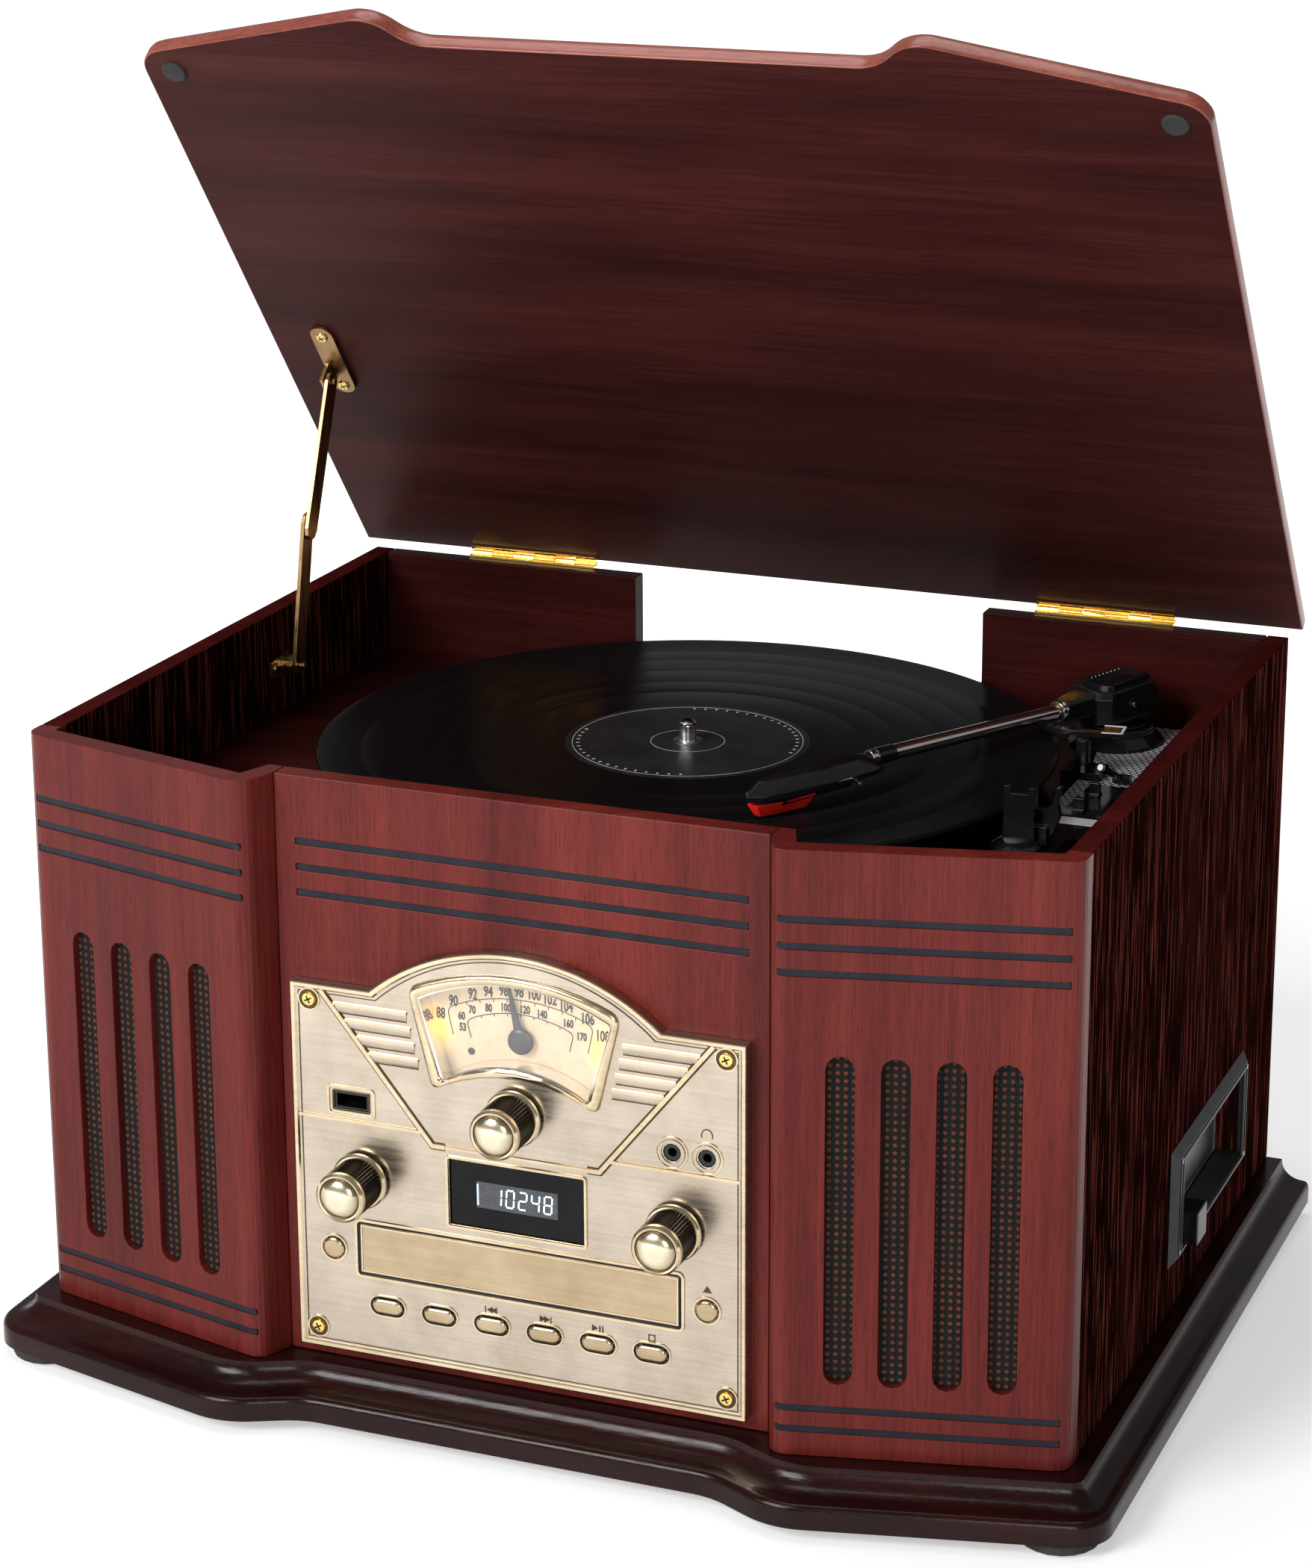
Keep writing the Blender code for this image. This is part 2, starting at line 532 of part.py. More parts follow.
def make_drive():
    profile = [(0.017, 0.1880), (0.017, 0.2060), (0.003, 0.2060), (0.003, 0.2235), (PULLEY_RADIUS, 0.2235),
               (PULLEY_RADIUS, 0.2292), (0.003, 0.2292)]
    piece("platter_motor", placed(turned(profile, 20), (*MOTOR_AT, 0.0)), STEEL)
    # the belt runs round the platter's belt rim and the pulley
    big, small = SUB_RIM_RADIUS + 2 * GAP, PULLEY_RADIUS + 2 * GAP
    line = MOTOR_AT - SPINDLE
    heading, lean = math.atan2(line.y, line.x), math.acos((big - small) / line.length)

    def loop(extra):
        out = []
        for centre, radius, first, last, count in (
            (SPINDLE, big, heading + lean, heading + math.tau - lean, 28),
            (MOTOR_AT, small, heading - lean, heading + lean, 6),
        ):
            for k in range(count + 1):
                a = first + (last - first) * k / count
                out.append((centre.x + (radius + extra) * math.cos(a), centre.y + (radius + extra) * math.sin(a)))
        return out

    rings = []
    for extra, z in ((0.0, 0.2240), (0.0010, 0.2240), (0.0010, 0.2272), (0.0, 0.2272)):
        rings.append([(x, y, z) for x, y in loop(extra)])
    piece("drive_belt", closed_mesh(rings, caps=False), RUBBER)


def make_chassis():
    disc = placed(turned([(0.135, CHASSIS_Z0), (0.135, CHASSIS_Z)], 48), (*SPINDLE, 0.0))
    plate = piece("turntable_chassis", disc, BLACK)
    strip = rounded([(0.080, -0.0125), (0.2005, -0.0125), (0.2005, -0.1675), (0.1665, -0.1675), (0.1665, -0.205),
                     (0.080, -0.205)], [0, 0.004, 0.003, 0.004, 0.014, 0])
    fuse(plate, prism(strip, CHASSIS_Z0, CHASSIS_Z), "strip")
    tower = [(0.0205, CHASSIS_Z0), (0.0205, 0.2205), (0.0165, 0.2245), (0.0165, 0.2272)]
    fuse(plate, placed(turned(tower, 24), (*ARM_AXIS, 0.0)), "arm_tower")
    fuse(plate, block((0.1425, -0.0970, 0.2180), (0.1590, -0.0820, 0.2225)), "cue_plinth")
    holes = [placed(turned([(0.0042, 0.2), (0.0042, 0.23)], 16), (*SPINDLE, 0.0)),
             placed(turned([(0.009, 0.2), (0.009, 0.2215)], 16), (*MOTOR_AT, 0.0)),
             placed(turned([(0.0053, 0.2), (0.0053, 0.24)], 12), (*ARM_AXIS, 0.0)),
             placed(turned([(0.0034, 0.2), (0.0034, 0.24)], 12), (*CUE_AT, 0.0))]
    for x, y in SWITCHES:
        holes.append(block((x - 0.0030, y - 0.0015, 0.2180), (x + 0.0110, y + 0.0015, 0.2220)))
    cut(plate, together(*holes))


def arm_point(along, aside=0.0, z=0.0):
    """A point in front of the tonearm's pivot; aside is towards the spindle."""
    c, s = math.cos(ARM_TURN), math.sin(ARM_TURN)
    return (ARM_AXIS.x - along * s - aside * c, ARM_AXIS.y - along * c + aside * s, z)


def arm_prism(outline, low, high):
    """An (along, aside) outline in the tonearm's plan view, extruded between two heights."""
    return closed_mesh([[arm_point(a, b, z) for a, b in outline] for z in (low, high)])


def make_tonearm():
    profile = [(0.005, 0.2150), (0.005, 0.2275), (0.0145, 0.2275), (0.0145, 0.2286), (0.0040, 0.2286),
               (0.0040, 0.2382)]
    gimbal = placed(turned(profile, 20), (*ARM_AXIS, 0.0))
    piece("tonearm_gimbal", gimbal, BLACK, (*ARM_AXIS, ARM_PITCH_Z))

    housing = [(-0.0150, -0.0095), (-0.0150, 0.0095), (-0.0115, 0.0128), (0.0175, 0.0128),
               (0.0215, 0.0092), (0.0215, -0.0070), (0.0175, -0.0118), (-0.0115, -0.0128)]
    arm = piece("tonearm", arm_prism(housing, 0.2316, 0.2455), BLACK, (*ARM_AXIS, ARM_PITCH_Z))
    cap = [(-0.0130, -0.0085), (-0.0130, 0.0085), (0.0135, 0.0085), (0.0135, -0.0085)]
    fuse(arm, arm_prism(cap, 0.2445, 0.2478), "cap")
    neck = [(0.0200, -0.0060), (0.0200, 0.0075), (0.0380, 0.0045), (0.0380, -0.0045)]
    fuse(arm, arm_prism(neck, 0.2355, 0.2446), "neck")
    rise = math.tan(ARM_RISE)
    tube = round_bar(arm_point(0.030, 0.0, 0.2400 - 0.0074 * rise),
                     arm_point(0.160, 0.0, 0.2400 + 0.1226 * rise), 0.0031, 10)
    fuse(arm, tube, "tube")
    shell = [(0.1545, 0.0050), (0.1545, -0.0050), (0.1600, -0.0065), (0.1850, -0.0045), (0.2150, 0.0015),
             (0.2205, 0.0070), (0.2165, 0.0110), (0.1800, 0.0085)]
    fuse(arm, arm_prism(shell, 0.2425, 0.2503), "headshell")
    # the lift wing: an arc round the swing axis, so the cue lift is under it wherever the arm swings
    wing = []
    for radius, order in ((0.0485, 1), (0.0520, -1)):
        angles = [math.radians(-112 + 37 * k / 6) for k in range(7)][::order]
        wing += [(ARM_AXIS.x + radius * math.cos(a), ARM_AXIS.y + radius * math.sin(a)) for a in angles]
    fuse(arm, prism(wing, 0.2356, 0.2378), "wing")
    fuse(arm, arm_prism([(0.0480, -0.0022), (0.0480, 0.0018), (0.0525, 0.0018), (0.0525, -0.0022)],
                        0.2360, 0.2400), "wing_root")
    pad = [(0.1560, -0.0800), (0.1645, -0.0790), (0.1655, -0.0885), (0.1575, -0.0900)]
    fuse(arm, prism(pad, 0.2363, 0.2381), "wing_pad")
    hollow = [(-0.0085, -0.0075), (-0.0085, 0.0075), (0.0085, 0.0075), (0.0085, -0.0075)]
    cut(arm, arm_prism(hollow, 0.2290, 0.2415), "hollow")

    body = [(0.1830, -0.0010), (0.1830, 0.0085), (0.2070, 0.0120), (0.2160, 0.0095), (0.2160, 0.0045),
            (0.2070, 0.0010)]
    cartridge = piece("cartridge", arm_prism(body, 0.2355, 0.2422), RED, (*ARM_AXIS, ARM_PITCH_Z))
    tip = round_bar(arm_point(0.2105, 0.0068, RECORD_TOP + GAP), arm_point(0.2105, 0.0068, 0.2360), 0.0006, 6)
    fuse(cartridge, tip, "stylus")


def make_arm_fittings():
    x, y = REST_AT
    profile = [(0.0099, CHASSIS_Z + GAP), (0.0099, 0.2212), (0.0085, 0.2226)]
    rest = piece("arm_rest", placed(turned(profile, 20), (x - 0.0012, y - 0.0023, 0.0)), BLACK)
    fuse(rest, block((x - 0.0062, y - 0.0025, 0.2218), (x + 0.0062, y + 0.0025, 0.2450)), "post")
    cut(rest, block((x - 0.0036, y - 0.0050, 0.2422), (x + 0.0036, y + 0.0050, 0.2500)), "fork")

    # the clip turns on a pin behind the post and leans over beside the fork to hold the arm
    pivot = (x + 0.0076, y + 0.0045, 0.2262)
    fuse(rest, block((x + 0.0030, y + 0.0008, 0.2215), (x + 0.0102, y + 0.0024, 0.2285)), "lug")
    fuse(rest, placed(round_bar((0, -0.0025, 0), (0, 0.0018, 0), 0.0008, 8), pivot), "pin")
    hook = [(-0.0041, 0.0098), (-0.0030, 0.0010), (-0.0026, -0.0020), (-0.0005, -0.0030), (0.0025, -0.0024),
            (0.0046, -0.0004), (0.0074, 0.0068), (0.0063, 0.0118), (0.0073, 0.0190), (0.0058, 0.0184),
            (0.0042, 0.0112), (0.0014, 0.0090)]
    clip = piece("arm_clip", placed(front_prism(hook, -0.0015, 0.0015), pivot), BLACK, pivot)
    cut(clip, placed(round_bar((0, -0.0030, 0), (0, 0.0030, 0), 0.0011, 8), pivot), "pin_hole")

    lift = turned([(0.0031, 0.2070), (0.0031, 0.2346), (0.0025, 0.2352)], 12)
    piece("cue_lift", placed(lift, (*CUE_AT, 0.0)), BLACK, (*CUE_AT, 0.2352))

    half = Vector((0.0036, 0, 0))
    lever = piece("cue_lever", round_bar(LEVER_PIVOT - half, LEVER_PIVOT + half, 0.0021, 12), BLACK, LEVER_PIVOT)
    fuse(lever, round_bar(LEVER_PIVOT, LEVER_PIVOT + LEVER_REACH, 0.0014, 8), "stem")
    fuse(lever, round_bar(LEVER_PIVOT + 0.86 * LEVER_REACH, LEVER_PIVOT + LEVER_REACH * 1.02, 0.0023, 10), "tip")
    for name, (x, y) in zip(("speed_switch", "auto_stop_switch"), SWITCHES):
        slide = piece(name, block((x - 0.0022, y - 0.0012, 0.2183), (x + 0.0022, y + 0.0012, 0.2252)), BLACK,
                      (x, y, CHASSIS_Z))
        fuse(slide, block((x - 0.0022, y - 0.0032, 0.2193), (x + 0.0022, y + 0.0032, 0.2206)), "skirt")


# --- radio unit ------------------------------------------------------------------------------------------
def make_faceplate():
    arch = arc_between((-ARCH_HALF, PLATE_HIGH), (ARCH_HALF, PLATE_HIGH), ARCH_TOP - PLATE_HIGH, 14)
    outline = [(-PLATE_HALF, PLATE_LOW), (-PLATE_HALF, PLATE_HIGH)] + arch
    outline += [(PLATE_HALF, PLATE_HIGH), (PLATE_HALF, PLATE_LOW)]
    plate = piece("faceplate", front_prism(outline, PLATE_FACE, PLATE_BACK), BRONZE)
    front, back = PLATE_FACE - 0.002, PLATE_BACK + 0.002
    tools = [front_prism(dial_outline(), front, back)]
    for x, z, half_x, half_z in (
        (0.0, (DRAWER_LOW + DRAWER_HIGH) / 2, DRAWER_HALF + GAP, (DRAWER_HIGH - DRAWER_LOW) / 2 + GAP),
        (0.0, (DISPLAY_LOW + DISPLAY_HIGH) / 2, DISPLAY_HALF + GAP, (DISPLAY_HIGH - DISPLAY_LOW) / 2 + GAP),
        (USB_X, USB_Z, 0.0072, 0.0035),
    ):
        tools.append(block((x - half_x, front, z - half_z), (x + half_x, back, z + half_z)))
    for i in range(BUTTON_COUNT):
        x = BUTTON_PITCH * (i - (BUTTON_COUNT - 1) / 2)
        tools.append(front_prism(pill(x, BUTTON_Z, BUTTON_HALF, BUTTON_RADIUS + GAP, 4), front, back))
    rounds = [(-ROUND_BUTTON_X, ROUND_BUTTON_Z, ROUND_BUTTON_RADIUS + GAP),
              (ROUND_BUTTON_X, ROUND_BUTTON_Z, ROUND_BUTTON_RADIUS + GAP)]
    rounds += [(x, z, 0.0036) for x, z in JACKS]
    rounds += [(x, z, 0.0034) for x, z in KNOBS.values()]
    for x, z, radius in rounds:
        tools.append(facing_front(turned([(radius, -back), (radius, -front)], 12), x, z))
    cut(plate, together(*tools))


def make_dial():
    scale = [(-0.044, 0.1470), (0.044, 0.1470), (0.044, 0.1840), (0.030, 0.1915), (-0.030, 0.1915), (-0.044, 0.1840)]
    scale = piece("dial_scale", front_prism(scale, -0.3178, -0.3168), CREAM)
    x, z = DIAL_HUB
    cut(scale, facing_front(turned([(0.0018, 0.30), (0.0018, 0.33)], 10), x, z))
    piece("dial_lens", front_prism(dial_outline(GAP), -0.3246, -0.3236), CLEAR)
    hub = (x, -0.320, z)
    pointer = piece("dial_pointer", facing_front(turned([(0.0014, 0.3120), (0.0014, 0.3190), (0.0052, 0.3190),
                                                         (0.0052, 0.3206), (0.0040, 0.3214)], 16), x, z), BLACK, hub)
    needle = front_prism([(-0.0012, 0.002), (0.0012, 0.002), (0.0004, 0.0225), (-0.0004, 0.0225)],
                         -0.3205, -0.3195)
    needle.transform(Matrix.Translation((x, 0.0, z)) @ Matrix.Rotation(POINTER_TURN, 4, "Y"))
    fuse(pointer, needle, "needle")


def make_knobs():
    """Each knob is turned about its shaft; the volume knob has a bore and turns on a shaft that can be pushed."""
    radius = KNOB_RADIUS
    head = [(radius + 0.0012, 0.3278), (radius + 0.0012, 0.3294), (radius, 0.3298), (radius, 0.3440),
            (radius - 0.0008, 0.3452), (radius - 0.0025, 0.3468), (0.0030, 0.3484)]
    shaft = [(0.0030, 0.3050), (0.0030, 0.3278)]
    bore = [(0.0033, 0.3400), (0.0033, 0.3278)]
    for name, (x, z) in KNOBS.items():
        profile = (bore if name == "volume_knob" else shaft) + head
        piece(name, facing_front(turned(profile, 20), x, z), BRONZE, (x, -0.3300, z))
    x, z = KNOBS["volume_knob"]
    shaft = turned([(0.0060, 0.3020), (0.0060, 0.3035), (0.0030, 0.3035), (0.0030, 0.3396)], 14)
    piece("volume_shaft", facing_front(shaft, x, z), STEEL, (x, -0.3300, z))


def make_buttons():
    for i in range(BUTTON_COUNT):
        x = BUTTON_PITCH * (i - (BUTTON_COUNT - 1) / 2)
        shape = front_prism(pill(x, BUTTON_Z, BUTTON_HALF, BUTTON_RADIUS, 4), PLATE_FACE - 0.0016, -0.3132)
        piece(f"button_{i + 1}", shape, BRONZE, (x, PLATE_FACE, BUTTON_Z))
    profile = [(ROUND_BUTTON_RADIUS, 0.3132), (ROUND_BUTTON_RADIUS, 0.3272), (ROUND_BUTTON_RADIUS - 0.001, 0.3276)]
    x = ROUND_BUTTON_X
    piece("eject_button", facing_front(turned(profile, 16), x, ROUND_BUTTON_Z), BRONZE,
          (x, PLATE_FACE, ROUND_BUTTON_Z))
    piece("remote_window", facing_front(turned(profile, 16), -x, ROUND_BUTTON_Z), BRONZE)


def make_disc_drive():
    piece("display_window", block((-DISPLAY_HALF, -0.3252, DISPLAY_LOW), (DISPLAY_HALF, -0.3118, DISPLAY_HIGH)),
          GLASS_BLACK)
    front = block((-DRAWER_HALF, -0.3260, DRAWER_LOW), (DRAWER_HALF, -0.3215, DRAWER_HIGH))
    drawer = piece("disc_drawer", front, BRONZE, (0.0, PLATE_FACE, DRAWER_LOW))
    fuse(drawer, block((-0.0640, -0.3225, 0.0665), (0.0640, -0.1920, 0.0725)), "tray")
    cut(drawer, placed(turned([(0.0605, 0.0690), (0.0605, 0.0750)], 32), (0.0, -0.2560, 0.0)), "disc_recess")
    shell = piece("disc_drive_housing", block((-0.0685, -0.3080, 0.0620), (0.0685, -0.1640, 0.0870)), STEEL)
    cut(shell, block((-0.0665, -0.3200, 0.0640), (0.0665, -0.1660, 0.0850)), "tray_bay")
    for side in (-1, 1):
        for y in (-0.300, -0.172):
            post = placed(turned([(0.004, BASE_TOP + GAP), (0.004, 0.0630)], 8), (side * 0.060, y, 0.0))
            fuse(shell, post, f"post{side}{int(-y * 1000)}")


def make_front_board():
    """The control board behind the faceplate, with the jack sockets that reach through it."""
    board = piece("front_board", block((-0.083, -0.3108, 0.0410), (0.083, -0.3092, 0.1460)), BOARD)
    for x, z in JACKS:
        profile = [(0.0048, 0.3095), (0.0048, 0.3205), (0.0033, 0.3205), (0.0033, 0.3256)]
        fuse(board, facing_front(turned(profile, 14), x, z), f"jack{int(x * 1000)}")
    shell = block((USB_X - 0.0069, -0.3256, USB_Z - 0.0032), (USB_X + 0.0069, -0.3098, USB_Z + 0.0032))
    fuse(board, shell, "usb_shell")
    holes = [block((-0.0690, -0.32, 0.0610), (0.0690, -0.30, 0.0880)),
             block((USB_X - 0.0063, -0.3300, USB_Z - 0.0026), (USB_X + 0.0063, -0.3125, USB_Z + 0.0026))]
    for x, z in KNOBS.values():
        holes.append(facing_front(turned([(0.0040, 0.30), (0.0040, 0.32)], 10), x, z))
    for x, z in JACKS:
        holes.append(facing_front(turned([(0.00185, 0.3125), (0.00185, 0.33)], 10), x, z))
    cut(board, together(*holes))


def make_speakers():
    for name, side in (("left", -1), ("right", 1)):
        profile = [(0.018, -0.040), (0.018, -0.029), (0.0345, -0.014), (0.038, -0.004), (0.038, 0.0),
                   (0.034, 0.0), (0.012, -0.014)]
        x, y = along_angled(side, ANGLED_LENGTH / 2, -WALL - 0.0020)
        cone = turned(profile, 28)
        cone.transform(Matrix.Rotation(side * ANGLED_TURN, 4, "Z") @ Matrix.Rotation(math.pi / 2, 4, "X"))
        piece(f"{name}_speaker", placed(cone, (x, y, (SLOT_LOW + SLOT_HIGH) / 2)), STEEL)


# --- cassette player -------------------------------------------------------------------------------------
def make_cassette():
    (y0, y1), (z0, z1), face = CASSETTE_Y, CASSETTE_Z, BODY_HALF + GAP
    edge = 0.0035
    rings = [[(x, y, z) for y, z in ((y0 + i, z0 + i), (y1 - i, z0 + i), (y1 - i, z1 - i), (y0 + i, z1 - i))]
             for x, i in ((face, 0.0), (face + 0.0030, edge))]
    bezel = piece("cassette_bezel", closed_mesh(rings), BLACK)
    collar = 0.0052
    fuse(bezel, block((0.2050, y0 + collar, z0 + collar), (face + 0.001, y1 - collar, z1 - collar)), "collar")
    cut(bezel, block((0.2, TAPE_Y[0], TAPE_Z[0]), (0.22, TAPE_Y[1], TAPE_Z[1])), "tape_opening")
    low, high = (0.132, TAPE_Y[0] - 0.004, TAPE_Z[0] - 0.003), (0.2036, TAPE_Y[1] + 0.004, TAPE_Z[1] + 0.003)
    mechanism = piece("cassette_mechanism", block(low, high), STEEL)
    inside = block((0.136, TAPE_Y[0] - 0.001, TAPE_Z[0] - 0.001), (0.21, TAPE_Y[1] + 0.001, TAPE_Z[1] + 0.001))
    cut(mechanism, inside, "tape_bay")
    fuse(mechanism, block((0.134, -0.1350, 0.0490), (0.2030, -0.0610, 0.0660)), "tape_shelf")
    key = side_prism([(-0.1622, 0.0522), (-0.1480, 0.0522), (-0.1480, 0.0664), (-0.1622, 0.0664)], 0.2010, 0.2225)
    piece("cassette_key", key, BLACK, (BODY_HALF, -0.1551, 0.0593))


make_base()
make_walls()
make_deck()
lid_board = lid_frame()
make_hinges(lid_board)
make_stay(lid_board)
make_platter()
make_drive()
make_chassis()
make_tonearm()
make_arm_fittings()
make_faceplate()
make_dial()
make_knobs()
make_buttons()
make_disc_drive()
make_front_board()
make_speakers()
make_cassette()
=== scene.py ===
import json
import math

import bmesh
import bpy
from mathutils import Matrix, Vector

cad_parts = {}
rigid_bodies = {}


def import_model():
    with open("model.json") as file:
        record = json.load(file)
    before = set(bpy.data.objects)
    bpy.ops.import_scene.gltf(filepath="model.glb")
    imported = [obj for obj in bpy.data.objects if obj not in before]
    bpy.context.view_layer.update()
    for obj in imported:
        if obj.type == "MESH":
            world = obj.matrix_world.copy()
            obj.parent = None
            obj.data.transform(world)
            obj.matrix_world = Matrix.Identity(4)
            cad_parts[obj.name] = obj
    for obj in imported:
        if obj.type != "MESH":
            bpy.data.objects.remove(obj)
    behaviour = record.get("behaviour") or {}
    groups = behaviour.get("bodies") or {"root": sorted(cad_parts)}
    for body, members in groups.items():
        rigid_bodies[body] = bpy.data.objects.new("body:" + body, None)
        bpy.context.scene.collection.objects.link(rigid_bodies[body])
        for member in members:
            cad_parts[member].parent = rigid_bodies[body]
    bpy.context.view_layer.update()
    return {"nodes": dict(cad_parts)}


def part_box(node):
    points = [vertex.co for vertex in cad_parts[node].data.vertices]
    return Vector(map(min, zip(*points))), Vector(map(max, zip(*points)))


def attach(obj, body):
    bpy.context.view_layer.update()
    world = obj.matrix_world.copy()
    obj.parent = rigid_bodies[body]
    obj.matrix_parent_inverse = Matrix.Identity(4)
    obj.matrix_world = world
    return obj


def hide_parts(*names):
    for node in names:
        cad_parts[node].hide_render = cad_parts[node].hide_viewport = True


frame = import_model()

# Everything is laid out in the cabinet's own frame: origin at the middle of the back face on the floor, -Y to
# the front. SHIFT is where the CAD put that origin. Metres throughout.
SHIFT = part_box("back_panel")[1].y
CABINET = Matrix.Translation((0.0, SHIFT, 0.0))
BODY_HALF, WALL = 0.213, 0.009
CORNER_Y, INNER_X, INNER_Y, CENTRE_X, CENTRE_Y = -0.310, 0.1058, -0.336, 0.100, -0.321
BASE_FRONT, BASE_SIDE, BASE_TOP = 0.022, 0.019, 0.0238
HINGE_Y, HINGE_Z, LID_OPEN = 0.00086, 0.262, math.radians(51.7)
LID_LOW, LID_HIGH, LID_SIDE, LID_FRONT, LID_BACK = 0.0015, 0.0105, 0.0055, 0.0035, 0.0002
LID = CABINET @ Matrix.Translation((0.0, HINGE_Y, HINGE_Z)) @ Matrix.Rotation(-LID_OPEN, 4, "X")
SPINDLE, RECORD_RADIUS, RECORD_TOP, RECORD_THICK = Vector((0.0, -0.150)), 0.151, 0.2345, 0.0015
ARM_AXIS, ARM_TURN, ARM_RISE = Vector((0.149, -0.038)), math.radians(22.1), math.radians(3.5)
REST_AT = Vector((0.1532, -0.1885))
LEVER_PIVOT, LEVER_REACH = Vector((0.1685, -0.0970, 0.2218)), Vector((-0.005, -0.0145, 0.0085))
CHASSIS_Z = 0.2190
STAY_LID_PIVOT = (-0.12286, -0.0055)
PLATE_FACE, PLATE_HALF, PLATE_LOW, PLATE_HIGH = -0.326, 0.0928, 0.0297, 0.1802
ARCH_HALF, ARCH_TOP = 0.0596, 0.2025
FLUTE = 0.0007
KNOBS = {"function_knob": (-0.0645, 0.1028), "volume_knob": (0.0645, 0.1028), "tuning_knob": (0.0, 0.1383)}
BUTTON_Z, BUTTON_HALF, BUTTON_RADIUS = 0.0511, 0.0034, 0.0030
BUTTONS = [0.02195 * (i - 2.5) for i in range(6)]
ROUND_X, ROUND_Z, ROUND_RADIUS = 0.0772, 0.0724, 0.0044
DRAWER_HALF, DRAWER_LOW, DRAWER_HIGH = 0.066, 0.0640, 0.0840
DISPLAY_HALF, DISPLAY_LOW, DISPLAY_HIGH = 0.0274, 0.0907, 0.1168
USB_X, USB_Z, JACKS = -0.0682, 0.1342, ((0.0633, 0.1338), (0.0772, 0.1336))
DIAL_HUB, POINTER_TURN = (0.0, 0.1661), math.radians(-12.0)
SLOT_COUNT, SLOT_PITCH, SLOT_WIDTH, SLOT_LOW, SLOT_HIGH = 4, 0.0201, 0.0107, 0.0535, 0.1830
TOP_GROOVES, BOTTOM_GROOVES = (0.2344, 0.2242, 0.2141), (0.0433, 0.0348)
CASSETTE_Y, CASSETTE_Z = (-0.173, -0.0555), (0.0452, 0.0950)
ANGLED_TURN = math.atan2(CORNER_Y - INNER_Y, BODY_HALF - INNER_X)
ANGLED_LENGTH = math.hypot(CORNER_Y - INNER_Y, BODY_HALF - INNER_X)


# --- procedural materials --------------------------------------------------------------------------------
class Surface:
    """A Principled material and short names for the nodes that drive it."""

    def __init__(self, name, **values):
        self.material = bpy.data.materials.new(name)
        self.material.use_nodes = True
        self.tree = self.material.node_tree
        self.shader = self.tree.nodes["Principled BSDF"]
        self.set(**values)

    def set(self, **values):
        for key, value in values.items():
            self.feed(self.shader.inputs[key.replace("_", " ")], value)

    def feed(self, socket, value):
        if isinstance(value, bpy.types.NodeSocket):
            self.tree.links.new(value, socket)
        elif socket.type == "RGBA" and len(value) == 3:
            socket.default_value = (*value, 1.0)
        else:
            socket.default_value = value

    def node(self, kind, inputs=(), **settings):
        made = self.tree.nodes.new(kind)
        for key, value in settings.items():
            setattr(made, key, value)
        for key, value in dict(inputs).items():
            self.feed(made.inputs[key], value)
        return made

    def coords(self, scale=(1, 1, 1), turn=(0, 0, 0), at=(0, 0, 0)):
        place = self.node("ShaderNodeTexCoord").outputs["Object"]
        return self.node("ShaderNodeMapping", {"Vector": place, "Location": at, "Rotation": turn,
                                               "Scale": scale}).outputs["Vector"]

    def noise(self, vector, scale=1.0, detail=4.0, rough=0.55, twist=0.0):
        return self.node("ShaderNodeTexNoise", {"Vector": vector, "Scale": scale, "Detail": detail,
                                                "Roughness": rough, "Distortion": twist}).outputs["Fac"]

    def ramp(self, value, *stops):
        made = self.node("ShaderNodeValToRGB", {"Fac": value})
        elements = made.color_ramp.elements
        while len(elements) < len(stops):
            elements.new(0.5)
        for element, (place, colour) in zip(elements, stops):
            element.position = place
            element.color = (*((colour,) * 3 if isinstance(colour, (int, float)) else colour), 1.0)
        return made.outputs["Color"]

    def maths(self, operation, *values):
        return self.node("ShaderNodeMath", dict(enumerate(values)), operation=operation).outputs[0]

    def mix(self, share, first, second):
        return self.node("ShaderNodeMix", {0: share, 6: first, 7: second}, data_type="RGBA").outputs[2]

    def blend(self, first, share, second):
        """The first value at this share and the second at the rest."""
        rest = self.maths("MULTIPLY", second, 1.0 - share)
        return self.maths("ADD", self.maths("MULTIPLY", first, share), rest)

    def distance(self, vector, point):
        return self.node("ShaderNodeVectorMath", {0: vector, 1: point}, operation="DISTANCE").outputs["Value"]

    def bump(self, height, strength, depth=0.001):
        self.set(Normal=self.node("ShaderNodeBump", {"Height": height, "Strength": strength,
                                                     "Distance": depth}).outputs["Normal"])


